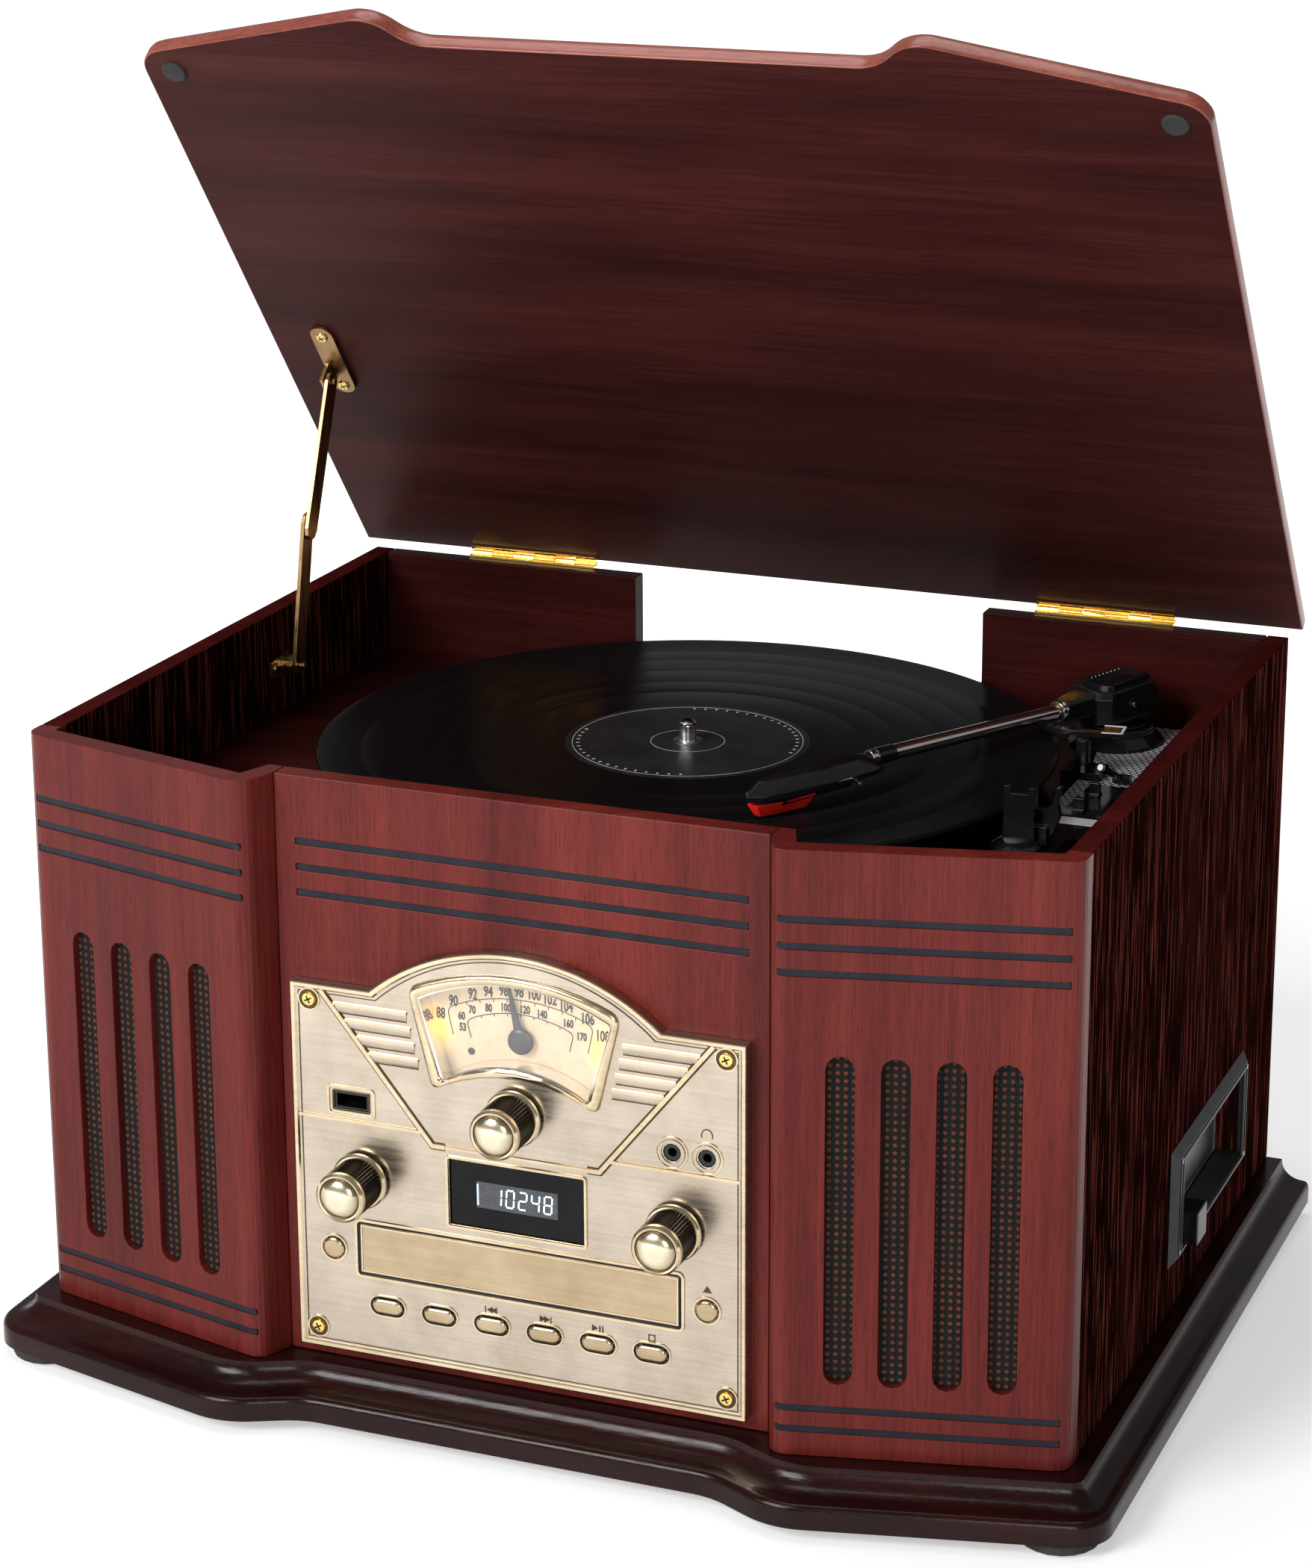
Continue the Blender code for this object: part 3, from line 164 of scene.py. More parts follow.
def wood(name, dark, middle, light, along=2, gloss=(0.30, 0.42), pores=0.35, coat=0.03, pore_colour=None,
         shine=0.14, seed=0.0, pore_size=(1900.0, 95.0), top=None):
    """Stained veneer: broad figure, fine fibres and open pores that all run along one axis."""
    surface = Surface(name, Coat_Weight=coat, Coat_Roughness=0.16, Specular_IOR_Level=shine)

    def stretched(across, length):
        scale = [across] * 3
        scale[along] = length
        return surface.coords(scale, at=(seed, seed * 0.7, seed * 1.3))

    figure = surface.noise(stretched(38.0, 3.2), 1.0, 4.0, 0.6, 0.4)
    fibre = surface.noise(stretched(780.0, 14.0), 1.0, 5.0, 0.7)
    pore = surface.noise(stretched(*pore_size), 1.0, 3.0, 0.6)
    blend = surface.blend(figure, 0.62, fibre)
    colour = surface.ramp(blend, (0.34, dark), (0.50, middle), (0.66, light))
    open_pore = surface.ramp(pore, (0.54, 0.0), (0.62, 1.0))
    share = surface.maths("MULTIPLY", open_pore, pores)
    colour = surface.mix(share, colour, pore_colour or tuple(0.25 * c for c in dark))
    if top is not None:
        facing = surface.node("ShaderNodeTexCoord").outputs["Normal"]
        upward = surface.node("ShaderNodeSeparateXYZ", {0: facing}).outputs["Z"]
        plain = surface.ramp(blend, (0.34, top[0]), (0.66, top[1]))
        colour = surface.mix(surface.ramp(upward, (0.60, 0.0), (0.70, 1.0)), colour, plain)
    surface.set(Base_Color=colour, Roughness=surface.ramp(fibre, (0.3, gloss[0]), (0.75, gloss[1])))
    height = surface.maths("SUBTRACT", surface.maths("MULTIPLY", fibre, 0.4), open_pore)
    surface.bump(height, 0.12, 0.0004)
    return surface.material


def metal(name, colour, shade, rough=(0.22, 0.36), along=0, lines=900.0, strength=0.05):
    """Brushed metal: fine lines along one axis and faint tarnish."""
    surface = Surface(name, Metallic=1.0)
    scale = [lines] * 3
    scale[along] = lines / 90.0
    brush = surface.noise(surface.coords(scale), 1.0, 4.0, 0.7)
    cloud = surface.noise(surface.coords((55.0, 55.0, 55.0)), 1.0, 4.0, 0.6)
    blend = surface.blend(brush, 0.45, cloud)
    surface.set(Base_Color=surface.ramp(blend, (0.30, shade), (0.62, colour)),
                Roughness=surface.ramp(brush, (0.3, rough[0]), (0.7, rough[1])))
    surface.bump(brush, strength, 0.0003)
    return surface.material


def plastic(name, colour, shade, rough=(0.25, 0.35), grain=1400.0, strength=0.04, coat=0.0, shine=0.5):
    surface = Surface(name, Coat_Weight=coat, Coat_Roughness=0.08, Specular_IOR_Level=shine)
    speck = surface.noise(surface.coords((grain, grain, grain)), 1.0, 2.0, 0.6)
    cloud = surface.noise(surface.coords((70.0, 70.0, 70.0)), 1.0, 3.0, 0.6)
    surface.set(Base_Color=surface.ramp(cloud, (0.35, shade), (0.65, colour)),
                Roughness=surface.ramp(speck, (0.3, rough[0]), (0.7, rough[1])))
    surface.bump(speck, strength, 0.0002)
    return surface.material


def vinyl():
    """Pressed black grooves, seen as fine rings whose gloss runs round the disc."""
    surface = Surface("vinyl", Base_Color=(0.0035, 0.0035, 0.0040), Specular_IOR_Level=0.07, Anisotropic=0.75)
    flat = surface.coords((1.0, 1.0, 0.0))
    radius = surface.distance(flat, (SPINDLE.x, SPINDLE.y + SHIFT, 0.0))
    ring = surface.maths("SINE", surface.maths("MULTIPLY", radius, 9000.0))
    band = surface.noise(surface.node("ShaderNodeCombineXYZ", {"X": radius}).outputs[0], 1600.0, 3.0, 0.5)
    surface.set(Roughness=surface.ramp(band, (0.3, 0.23), (0.7, 0.28)),
                Tangent=surface.node("ShaderNodeTangent", direction_type="RADIAL", axis="Z").outputs[0])
    surface.bump(ring, 0.04, 0.0001)
    return surface.material


def cloth():
    """Black speaker cloth woven in a staggered grid, with brown threads showing through its holes."""
    surface = Surface("speaker_cloth", Roughness=0.85, Specular_IOR_Level=0.2)
    split = surface.node("ShaderNodeSeparateXYZ", {0: surface.coords((1.0, 1.0, 1.0))})
    pitch = 0.0030
    across = surface.maths("DIVIDE", split.outputs["X"], pitch * math.cos(ANGLED_TURN))
    up = surface.maths("DIVIDE", split.outputs["Z"], pitch)
    waves = [surface.maths("SINE", surface.maths("MULTIPLY", surface.maths(kind, up, across), math.pi))
             for kind in ("ADD", "SUBTRACT")]
    spots = surface.maths("MULTIPLY", *waves)
    glow = surface.ramp(spots, (0.30, (0.006, 0.005, 0.005)), (0.62, (0.115, 0.034, 0.014)))
    fade = surface.noise(surface.coords((60.0, 60.0, 60.0)), 1.0, 3.0)
    dim = surface.ramp(fade, (0.3, 0.5), (0.7, 0.0))
    surface.set(Base_Color=surface.mix(dim, glow, (0.004, 0.004, 0.004)))
    surface.bump(spots, 0.5, 0.0006)
    return surface.material


def dial_paper():
    """Cream scale plate, lit from lamps at its lower left and its right edge."""
    surface = Surface("dial_paper", Roughness=0.55)
    place = surface.coords()
    lamps = []
    for x, z, size in ((-0.0385, 0.1655, 0.0145), (0.0345, 0.1660, 0.0120)):
        away = surface.distance(place, (x, SHIFT - 0.3178, z))
        lamps.append(surface.maths("POWER", surface.maths("MAXIMUM", surface.maths(
            "SUBTRACT", 1.0, surface.maths("DIVIDE", away, size)), 0.0), 1.6))
    lamp = surface.maths("MINIMUM", surface.maths("ADD", *lamps), 1.0)
    paper = surface.noise(surface.coords((240.0, 240.0, 240.0)), 1.0, 3.0)
    base = surface.ramp(paper, (0.3, (0.60, 0.455, 0.300)), (0.7, (0.68, 0.535, 0.370)))
    surface.set(Base_Color=surface.mix(lamp, base, (1.0, 0.45, 0.04)),
                Emission_Color=surface.ramp(lamp, (0.0, (0.9, 0.62, 0.35)), (0.35, (1.0, 0.45, 0.03)),
                                            (1.0, (1.0, 0.72, 0.15))),
                Emission_Strength=surface.maths("ADD", surface.maths("MULTIPLY", lamp, 1.9), 0.06))
    return surface.material


def scale_plate():
    """Satin silver plate stamped with short staggered dashes."""
    surface = Surface("scale_plate", Specular_IOR_Level=0.6)
    dashes = surface.node("ShaderNodeTexBrick", {"Vector": surface.coords((1.0, 1.0, 1.0), (0, 0, 0.38)),
                                                "Color1": (0.94, 0.94, 0.96), "Color2": (0.80, 0.80, 0.83),
                                                "Mortar": (0.03, 0.03, 0.035), "Scale": 1.0,
                                                "Mortar Size": 0.00048, "Brick Width": 0.0044,
                                                "Row Height": 0.0018}, offset=0.5)
    gap = dashes.outputs["Fac"]
    surface.set(Base_Color=dashes.outputs["Color"], Roughness=surface.ramp(gap, (0, 0.3), (1, 0.6)))
    surface.bump(surface.maths("SUBTRACT", 1.0, gap), 0.5, 0.0003)
    return surface.material


def spun_cap():
    """The polished dome: bright brass under clear lacquer, spun into rings round each knob's middle."""
    surface = Surface("spun_cap", Metallic=1.0, Coat_Weight=1.0, Coat_Roughness=0.03)
    place = surface.coords((1.0, 0.0, 1.0))
    near = None
    for x, z in KNOBS.values():
        away = surface.distance(place, (x, 0.0, z))
        near = away if near is None else surface.maths("MINIMUM", near, away)
    ring = surface.noise(surface.node("ShaderNodeCombineXYZ", {"X": near}).outputs[0], 1500.0, 3.0, 0.6)
    share = surface.maths("DIVIDE", near, 0.0082)
    # The dome's colour is painted brighter in the middle and darker towards its rim: a painted highlight and
    # painted shade.
    painted_dome_light = surface.ramp(share, (0.0, (0.78, 0.68, 0.46)), (0.45, (0.86, 0.78, 0.58)),
                        (0.80, (0.55, 0.46, 0.30)), (1.0, (0.20, 0.16, 0.10)))
    surface.set(Base_Color=surface.mix(surface.maths("MULTIPLY", ring, 0.35), painted_dome_light, (0.40, 0.32, 0.18)),
                Roughness=surface.ramp(ring, (0.3, 0.16), (0.7, 0.30)))
    surface.bump(ring, 0.12, 0.0002)
    return surface.material


FRONT_WOOD = wood("front_veneer", (0.054, 0.0060, 0.0050), (0.100, 0.0115, 0.0088), (0.150, 0.0200, 0.0145))
SIDE_WOOD = wood("side_veneer", (0.0035, 0.0009, 0.0009), (0.0080, 0.0018, 0.0016), (0.024, 0.0050, 0.0042),
                 gloss=(0.40, 0.55), pores=0.80, coat=0.0, pore_colour=(0.125, 0.029, 0.021), shine=0.0,
                 seed=7.0, pore_size=(640.0, 24.0), top=((0.026, 0.0034, 0.0030), (0.060, 0.0085, 0.0070)))
# The lid's underside: the lid wood darkened as painted shade, standing for the shade under the open lid.
SHADED_LID_UNDERSIDE_WOOD = wood("lid_underside_painted_shade", (0.018, 0.0044, 0.0042), (0.033, 0.0075, 0.0068), (0.056, 0.0130, 0.0110), 0,
                gloss=(0.42, 0.52), pores=0.12, coat=0.0, shine=0.06, seed=11.0)
LID_TOP_WOOD = wood("lid_top", (0.050, 0.0055, 0.0046), (0.088, 0.0100, 0.0078), (0.135, 0.0175, 0.0130), 0,
                    seed=9.0)
# The lid's edges: the lid wood painted lighter and more orange, a painted highlight on the rounded edge.
HIGHLIT_EDGE_WOOD = wood("lid_edge_painted_highlight", (0.110, 0.022, 0.016), (0.190, 0.046, 0.032), (0.280, 0.080, 0.055), along=0,
                 gloss=(0.28, 0.38), coat=0.4, seed=5.0)
BASE_WOOD = wood("base_moulding", (0.0060, 0.0016, 0.0016), (0.013, 0.0027, 0.0026), (0.026, 0.0048, 0.0045), 0,
                 gloss=(0.16, 0.24), pores=0.15, coat=0.05, shine=0.16, seed=13.0)
# Wood for the back panel and deck inside the cabinet, darkened as painted shade for the shade under the lid.
SHADED_INSIDE_WOOD = wood("inner_wood_painted_shade", (0.013, 0.0018, 0.0016), (0.026, 0.0034, 0.0030), (0.044, 0.0058, 0.0048), 0,
                   gloss=(0.38, 0.50), pores=0.2, coat=0.0, shine=0.06, seed=17.0)
BRASS = metal("champagne_brass", (0.56, 0.485, 0.395), (0.40, 0.335, 0.262))
WARM_BRASS = metal("warm_brass", (0.52, 0.405, 0.262), (0.36, 0.268, 0.160), (0.18, 0.30))
EDGE_BRASS = metal("edge_brass", (0.72, 0.60, 0.42), (0.50, 0.39, 0.24), (0.14, 0.24), lines=500.0)
DARK_BRASS = metal("aged_brass", (0.105, 0.074, 0.043), (0.050, 0.034, 0.020), (0.25, 0.38))
BARREL = metal("fluted_bronze", (0.030, 0.022, 0.014), (0.014, 0.010, 0.0065), (0.24, 0.34), strength=0.02)
ANTIQUE = metal("antique_brass", (0.42, 0.27, 0.12), (0.16, 0.095, 0.05), (0.24, 0.40), along=2, lines=400.0)
GOLD = metal("gold", (0.95, 0.66, 0.22), (0.70, 0.44, 0.12), (0.12, 0.24), lines=500.0)
CHROME = metal("chrome", (0.95, 0.94, 0.92), (0.80, 0.79, 0.77), (0.12, 0.20), strength=0.01)
STEEL = metal("steel", (0.50, 0.50, 0.52), (0.34, 0.34, 0.36), (0.30, 0.45))
BLACK = plastic("black_plastic", (0.0075, 0.0075, 0.0085), (0.0040, 0.0040, 0.0046), (0.13, 0.20), 1400.0, 0.02)
GLOSS_BLACK = plastic("gloss_black", (0.008, 0.008, 0.009), (0.004, 0.004, 0.005), (0.08, 0.14), 1400.0, 0.01,
                      shine=0.45)
GLAZED = plastic("display_glass", (0.006, 0.006, 0.007), (0.003, 0.003, 0.004), (0.12, 0.18), 1400.0, 0.01,
                 shine=0.15)
TEXTURED = plastic("textured_black", (0.020, 0.020, 0.022), (0.011, 0.011, 0.013), (0.40, 0.55), 2200.0, 0.30)
GROOVE_PAINT = plastic("groove_paint", (0.009, 0.011, 0.018), (0.004, 0.005, 0.009), (0.30, 0.42), shine=0.2)
RUBBER = plastic("rubber", (0.018, 0.018, 0.018), (0.010, 0.010, 0.010), (0.7, 0.85), strength=0.2)
RED = plastic("red_plastic", (0.80, 0.025, 0.012), (0.62, 0.012, 0.008), (0.16, 0.24), coat=0.5)
WHITE_INK = plastic("white_ink", (0.72, 0.72, 0.74), (0.55, 0.55, 0.57), (0.5, 0.6))
DARK_INK = plastic("dark_ink", (0.020, 0.016, 0.014), (0.012, 0.010, 0.009), (0.5, 0.6))
POINTER_GREY = plastic("pointer_grey", (0.045, 0.045, 0.052), (0.024, 0.024, 0.028), (0.30, 0.42))
LABEL_BLACK = plastic("label_paper", (0.016, 0.016, 0.017), (0.008, 0.008, 0.009), (0.42, 0.56), 600.0, 0.1)
# White used two ways: the real white outline round the tonearm's pad, and a painted reflection on the shiny black
# bevel at the front of the arm plate.
WHITE_AND_PAINTED_REFLECTION = plastic("white_and_painted_reflection", (0.78, 0.78, 0.80), (0.66, 0.66, 0.68), (0.18, 0.26), coat=0.4)
VINYL, CLOTH, PAPER, SCALE, CAP = vinyl(), cloth(), dial_paper(), scale_plate(), spun_cap()


def mottled(name, shade, colour, grain, **values):
    """A plain surface whose colour drifts a little between two tones."""
    surface = Surface(name, **values)
    speck = surface.noise(surface.coords((grain,) * 3))
    surface.set(Base_Color=surface.ramp(speck, (0.3, shade), (0.7, colour)))
    return surface.material


LENS = mottled("clear_lens", 0.85, 0.95, 90.0, Roughness=0.03, Alpha=0.05)
SCREEN = mottled("lcd_screen", (0.030, 0.032, 0.038), (0.060, 0.063, 0.072), 900.0, Roughness=0.20)
LIT = mottled("lit_segments", (0.60, 0.80, 0.95), (0.75, 0.92, 1.0), 700.0, Roughness=0.4,
              Emission_Strength=1.6, Emission_Color=(0.55, 0.80, 1.0))


# --- building blocks -------------------------------------------------------------------------------------
def closed_mesh(rings, caps=True):
    bm = bmesh.new()
    made = [[bm.verts.new(point) for point in ring] for ring in rings]
    count = len(made[0])
    for lower, upper in (zip(made, made[1:]) if caps else zip(made, made[1:] + made[:1])):
        for i in range(count):
            j = (i + 1) % count
            bm.faces.new((lower[i], lower[j], upper[j], upper[i]))
    if caps:
        bm.faces.new(list(reversed(made[0])))
        bm.faces.new(made[-1])
    bmesh.ops.recalc_face_normals(bm, faces=bm.faces)
    return bm


def prism(outline, low, high):
    return closed_mesh([[(x, y, z) for x, y in outline] for z in (low, high)])


def front_prism(outline, front, back):
    return closed_mesh([[(x, y, z) for x, z in outline] for y in (front, back)])


def side_prism(outline, low, high):
    return closed_mesh([[(x, y, z) for y, z in outline] for x in (low, high)])


def block(low, high):
    (x0, y0, z0), (x1, y1, z1) = low, high
    return prism([(x0, y0), (x1, y0), (x1, y1), (x0, y1)], z0, z1)


def turned(profile, steps, closed=False, ribs=()):
    """The (radius, z) profile turned about Z. The rows in ribs are fluted: every other point lies deeper."""
    rings = []
    for row, (radius, z) in enumerate(profile):
        ring = []
        for i in range(steps):
            reach = radius - (FLUTE if row in ribs and i % 2 else 0.0)
            ring.append((reach * math.cos(math.tau * i / steps), reach * math.sin(math.tau * i / steps), z))
        rings.append(ring)
    return closed_mesh(rings, caps=not closed)


def circle(x, z, radius, count=40):
    return [(x + radius * math.cos(math.tau * k / count), z + radius * math.sin(math.tau * k / count))
            for k in range(count)]


def rectangle(x, z, half_x, half_z):
    return [(x + side * half_x, z + end * half_z) for side, end in ((-1, -1), (1, -1), (1, 1), (-1, 1))]


def moved(bm, at=(0, 0, 0), turn=0.0, axis="Z"):
    bm.transform(Matrix.Translation(at) @ Matrix.Rotation(turn, 4, axis))
    return bm


def facing_front(bm, x, z, y=0.0):
    return moved(bm, (x, y, z), math.pi / 2, "X")


def round_bar(start, end, radius, steps=16, tip=None):
    start, end = Vector(start), Vector(end)
    bm = turned([(radius, 0.0), (radius if tip is None else tip, (end - start).length)], steps)
    bm.transform(Matrix.Translation(start) @ (end - start).to_track_quat("Z", "Y").to_matrix().to_4x4())
    return bm


def rounded(points, radii, steps=6, closed=True):
    count, out = len(points), []
    for i, (point, radius) in enumerate(zip(points, radii)):
        corner = Vector(point)
        if radius <= 0 or (not closed and i in (0, count - 1)):
            out.append(tuple(corner))
            continue
        back, ahead = Vector(points[i - 1]) - corner, Vector(points[(i + 1) % count]) - corner
        half = back.angle(ahead) / 2
        reach = min(radius / math.tan(half), 0.48 * back.length, 0.48 * ahead.length)
        radius = reach * math.tan(half)
        middle = corner + (back.normalized() + ahead.normalized()).normalized() * (radius / math.sin(half))
        start = corner + back.normalized() * reach - middle
        sweep = start.angle_signed(corner + ahead.normalized() * reach - middle)
        for k in range(steps + 1):
            c, s = math.cos(-sweep * k / steps), math.sin(-sweep * k / steps)
            out.append((middle.x + start.x * c - start.y * s, middle.y + start.x * s + start.y * c))
    return out


def shifted(points, offsets):
    lines = []
    for a, b, offset in zip(points, points[1:], offsets):
        whole = Vector(b) - Vector(a)
        along = whole.normalized()
        lines.append((Vector(a) + Vector((along.y, -along.x)) * offset, along, whole.length))
    out = [tuple(lines[0][0])]
    for (p, d, _), (q, e, _) in zip(lines, lines[1:]):
        out.append(tuple(p + d * ((q - p).cross(e) / d.cross(e))))
    out.append(tuple(lines[-1][0] + lines[-1][1] * lines[-1][2]))
    return out


def angled_y(x):
    return CORNER_Y - (BODY_HALF - x) * math.tan(ANGLED_TURN)


def stepped_line(run):
    middle = (INNER_X + CENTRE_X) / 2
    outer, inner = middle + run / 2, middle - run / 2
    half = [(-BODY_HALF, 0.0), (-BODY_HALF, CORNER_Y), (-outer, angled_y(outer)), (-inner, CENTRE_Y)]
    return half + [(-x, y) for x, y in reversed(half)]


def stepped_outline(side, front, run, corner_radius, step_radius, steps):
    line = shifted(stepped_line(run), [side] + [front] * 5 + [side])
    radii = [0, corner_radius, step_radius, step_radius]
    return rounded(line, radii + radii[::-1], steps)


def pill(x, z, half, radius, steps=8):
    out = []
    for side, start in ((1, -math.pi / 2), (-1, math.pi / 2)):
        for k in range(steps + 1):
            a = start + math.pi * k / steps
            out.append((x + side * half + radius * math.cos(a), z + radius * math.sin(a)))
    return out


def arc_between(left, right, rise, steps):
    half = (right[0] - left[0]) / 2
    radius = (half * half + rise * rise) / (2 * rise)
    spread = math.asin(half / radius)
    cx, cz = (left[0] + right[0]) / 2, left[1] + rise - radius
    angles = [spread * (2 * k / steps - 1) for k in range(steps + 1)]
    return [(cx + radius * math.sin(a), cz + radius * math.cos(a)) for a in angles]


def dial_outline(inset=0.0, steps=20):
    top = arc_between((-0.0398 + inset, 0.1806 - inset), (0.0398 - inset, 0.1806 - inset), 0.0099, steps)
    low = arc_between((-0.0302 + inset, 0.1478 + inset), (0.0302 - inset, 0.1478 + inset), 0.0091, steps)
    return top + low[::-1]


def along_angled(side, u, out=0.0):
    x = BODY_HALF - u * math.cos(ANGLED_TURN) + out * math.sin(ANGLED_TURN)
    return side * x, CORNER_Y - u * math.sin(ANGLED_TURN) - out * math.cos(ANGLED_TURN)


def angled_prism(side, outline, front, back):
    """An (u, z) outline on an angled face, from one depth to another; positive is out of the face."""
    return closed_mesh([[(*along_angled(side, u, out), z) for u, z in outline] for out in (front, back)])


def ribbon(points, profile, closed=False, place=lambda a, b, c: (a, b, c)):
    """A bar that follows a line on the front view; its section is (offset across the line, y)."""
    flat = [Vector(p) for p in points]
    count, rings = len(flat), []
    for i, point in enumerate(flat):
        ways = []
        if closed or i > 0:
            ways.append((point - flat[i - 1]).normalized())
        if closed or i < count - 1:
            ways.append((flat[(i + 1) % count] - point).normalized())
        normals = [Vector((-w.y, w.x)) for w in ways]
        middle = sum(normals, Vector((0, 0))).normalized()
        stretch = min(1.0 / max(middle.dot(normals[0]), 0.35), 2.2)
        rings.append([place(point.x + middle.x * a * stretch, y, point.y + middle.y * a * stretch)
                      for a, y in profile])
    return closed_mesh(rings, caps=not closed)


def raised(width, height):
    """The section of a bar that stands proud of the faceplate, with sloping sides."""
    half, top, sunk = width / 2, PLATE_FACE - height, PLATE_FACE + 0.0004
    left = [(-half, sunk), (-half, PLATE_FACE), (-half * 0.7, top)]
    return left + [(-a, y) for a, y in reversed(left)]


def strip(half, back, front):
    """The section of a flat bar."""
    return [(-half, back), (-half, front), (half, front), (half, back)]


def piece(name, shapes, body="cabinet", replaces=(), at=CABINET, sharp=38, bevel=0.0, segments=2):
    """One object from (shape, material) pairs drawn in the cabinet's or the lid's frame."""
    merged, materials = bmesh.new(), []
    for bm, material in shapes:
        if material not in materials:
            materials.append(material)
        for face in bm.faces:
            face.material_index = materials.index(material)
        held = bpy.data.meshes.new("held")
        bm.to_mesh(held)
        merged.from_mesh(held)
        bm.free()
        bpy.data.meshes.remove(held)
    merged.transform(at)
    mesh = bpy.data.meshes.new(name)
    merged.to_mesh(mesh)
    merged.free()
    mesh.shade_smooth()
    mesh.set_sharp_from_angle(angle=math.radians(sharp))
    made = bpy.data.objects.new(name, mesh)
    bpy.context.scene.collection.objects.link(made)
    for material in materials:
        mesh.materials.append(material)
    if bevel:
        edge = made.modifiers.new("edges", "BEVEL")
        edge.width, edge.segments, edge.limit_method = bevel, segments, "ANGLE"
        edge.angle_limit, edge.harden_normals = math.radians(sharp), True
    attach(made, body)
    if replaces:
        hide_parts(*replaces)
    return made


def repaint(material, *nodes, bevel=0.0, segments=2):
    """A CAD node keeps its shape, and gets a finished material and softened edges."""
    for name in nodes:
        node = frame["nodes"][name]
        node.data.materials.clear()
        node.data.materials.append(material)
        if bevel:
            weld = node.modifiers.new("weld", "WELD")
            weld.merge_threshold = 1e-5
            edge = node.modifiers.new("edges", "BEVEL")
            edge.width, edge.segments, edge.limit_method = bevel, segments, "ANGLE"
            edge.angle_limit, edge.harden_normals = math.radians(40), True


# --- cabinet ---------------------------------------------------------------------------------------------
def make_cabinet():
    repaint(RUBBER, "foot_front_left", "foot_front_right", "foot_rear_left", "foot_rear_right", bevel=0.0004)
    repaint(SIDE_WOOD, "left_side_panel", "right_side_panel", bevel=0.0006)
    # The back panel and deck take wood darkened as painted shade.
    repaint(SHADED_INSIDE_WOOD, "back_panel", "deck_board", bevel=0.0005)
    repaint(FRONT_WOOD, "front_left_panel", "front_right_panel", "front_centre_panel", bevel=0.0005)

    # moulding: band, bullnose, cove and ledge
    steps = [(1.0, 0.0050 + 0.0004), (1.0, 0.0120)]
    steps += [(0.88 + 0.12 * math.cos(a), 0.0120 + 0.0030 * math.sin(a))
              for a in [math.radians(15 * k) for k in range(1, 7)]]
    steps += [(0.36 + 0.50 * (1 - math.sin(a)), 0.0150 + 0.0082 * (1 - math.cos(a)))
              for a in [math.radians(11.25 * k) for k in range(1, 9)]]
    steps.append((0.355, BASE_TOP))
    rings = []
    for s, z in steps:
        outline = stepped_outline(BASE_SIDE * s, BASE_FRONT * s, 0.026, 0.016 * s, 0.034, 10)
        rings.append([(x, y, z) for x, y in outline])
    piece("base_moulding", [(closed_mesh(rings), BASE_WOOD)], replaces=("base_board",),
          sharp=50)

    lines = []
    for side in (-1, 1):
        for z in TOP_GROOVES + BOTTOM_GROOVES:
            line = pill(ANGLED_LENGTH / 2 + 0.001, z, ANGLED_LENGTH / 2 - 0.0040, 0.00128)
            lines.append((angled_prism(side, line, -0.0005, -0.0014), GROOVE_PAINT))
    for z in TOP_GROOVES:
        line = pill(0.0, z, 0.0900, 0.00128)
        lines.append((front_prism(line, CENTRE_Y + 0.0005, CENTRE_Y + 0.0014), GROOVE_PAINT))
    piece("groove_paint", lines)

    first = ANGLED_LENGTH / 2 - SLOT_PITCH * (SLOT_COUNT - 1) / 2
    radius = SLOT_WIDTH / 2 - 0.0001
    for name, side in (("left", -1), ("right", 1)):
        panels = []
        for i in range(SLOT_COUNT):
            middle, half = (SLOT_LOW + SLOT_HIGH) / 2, (SLOT_HIGH - SLOT_LOW) / 2 - SLOT_WIDTH / 2
            outline = [(u, z) for z, u in pill(middle, first + i * SLOT_PITCH, half, radius)]
            panels.append((angled_prism(side, outline, -0.0030, -0.0045), CLOTH))
        piece(f"{name}_speaker_cloth", panels)


def lid_outline(inset):
    outline = stepped_outline(LID_SIDE - inset, LID_FRONT - inset, 0.014, 0.012, 0.020, 8)
    outline[0], outline[-1] = [(x, LID_BACK - min(inset, 0.0015)) for x, _ in (outline[0], outline[-1])]
    return [(x, y - HINGE_Y) for x, y in outline]


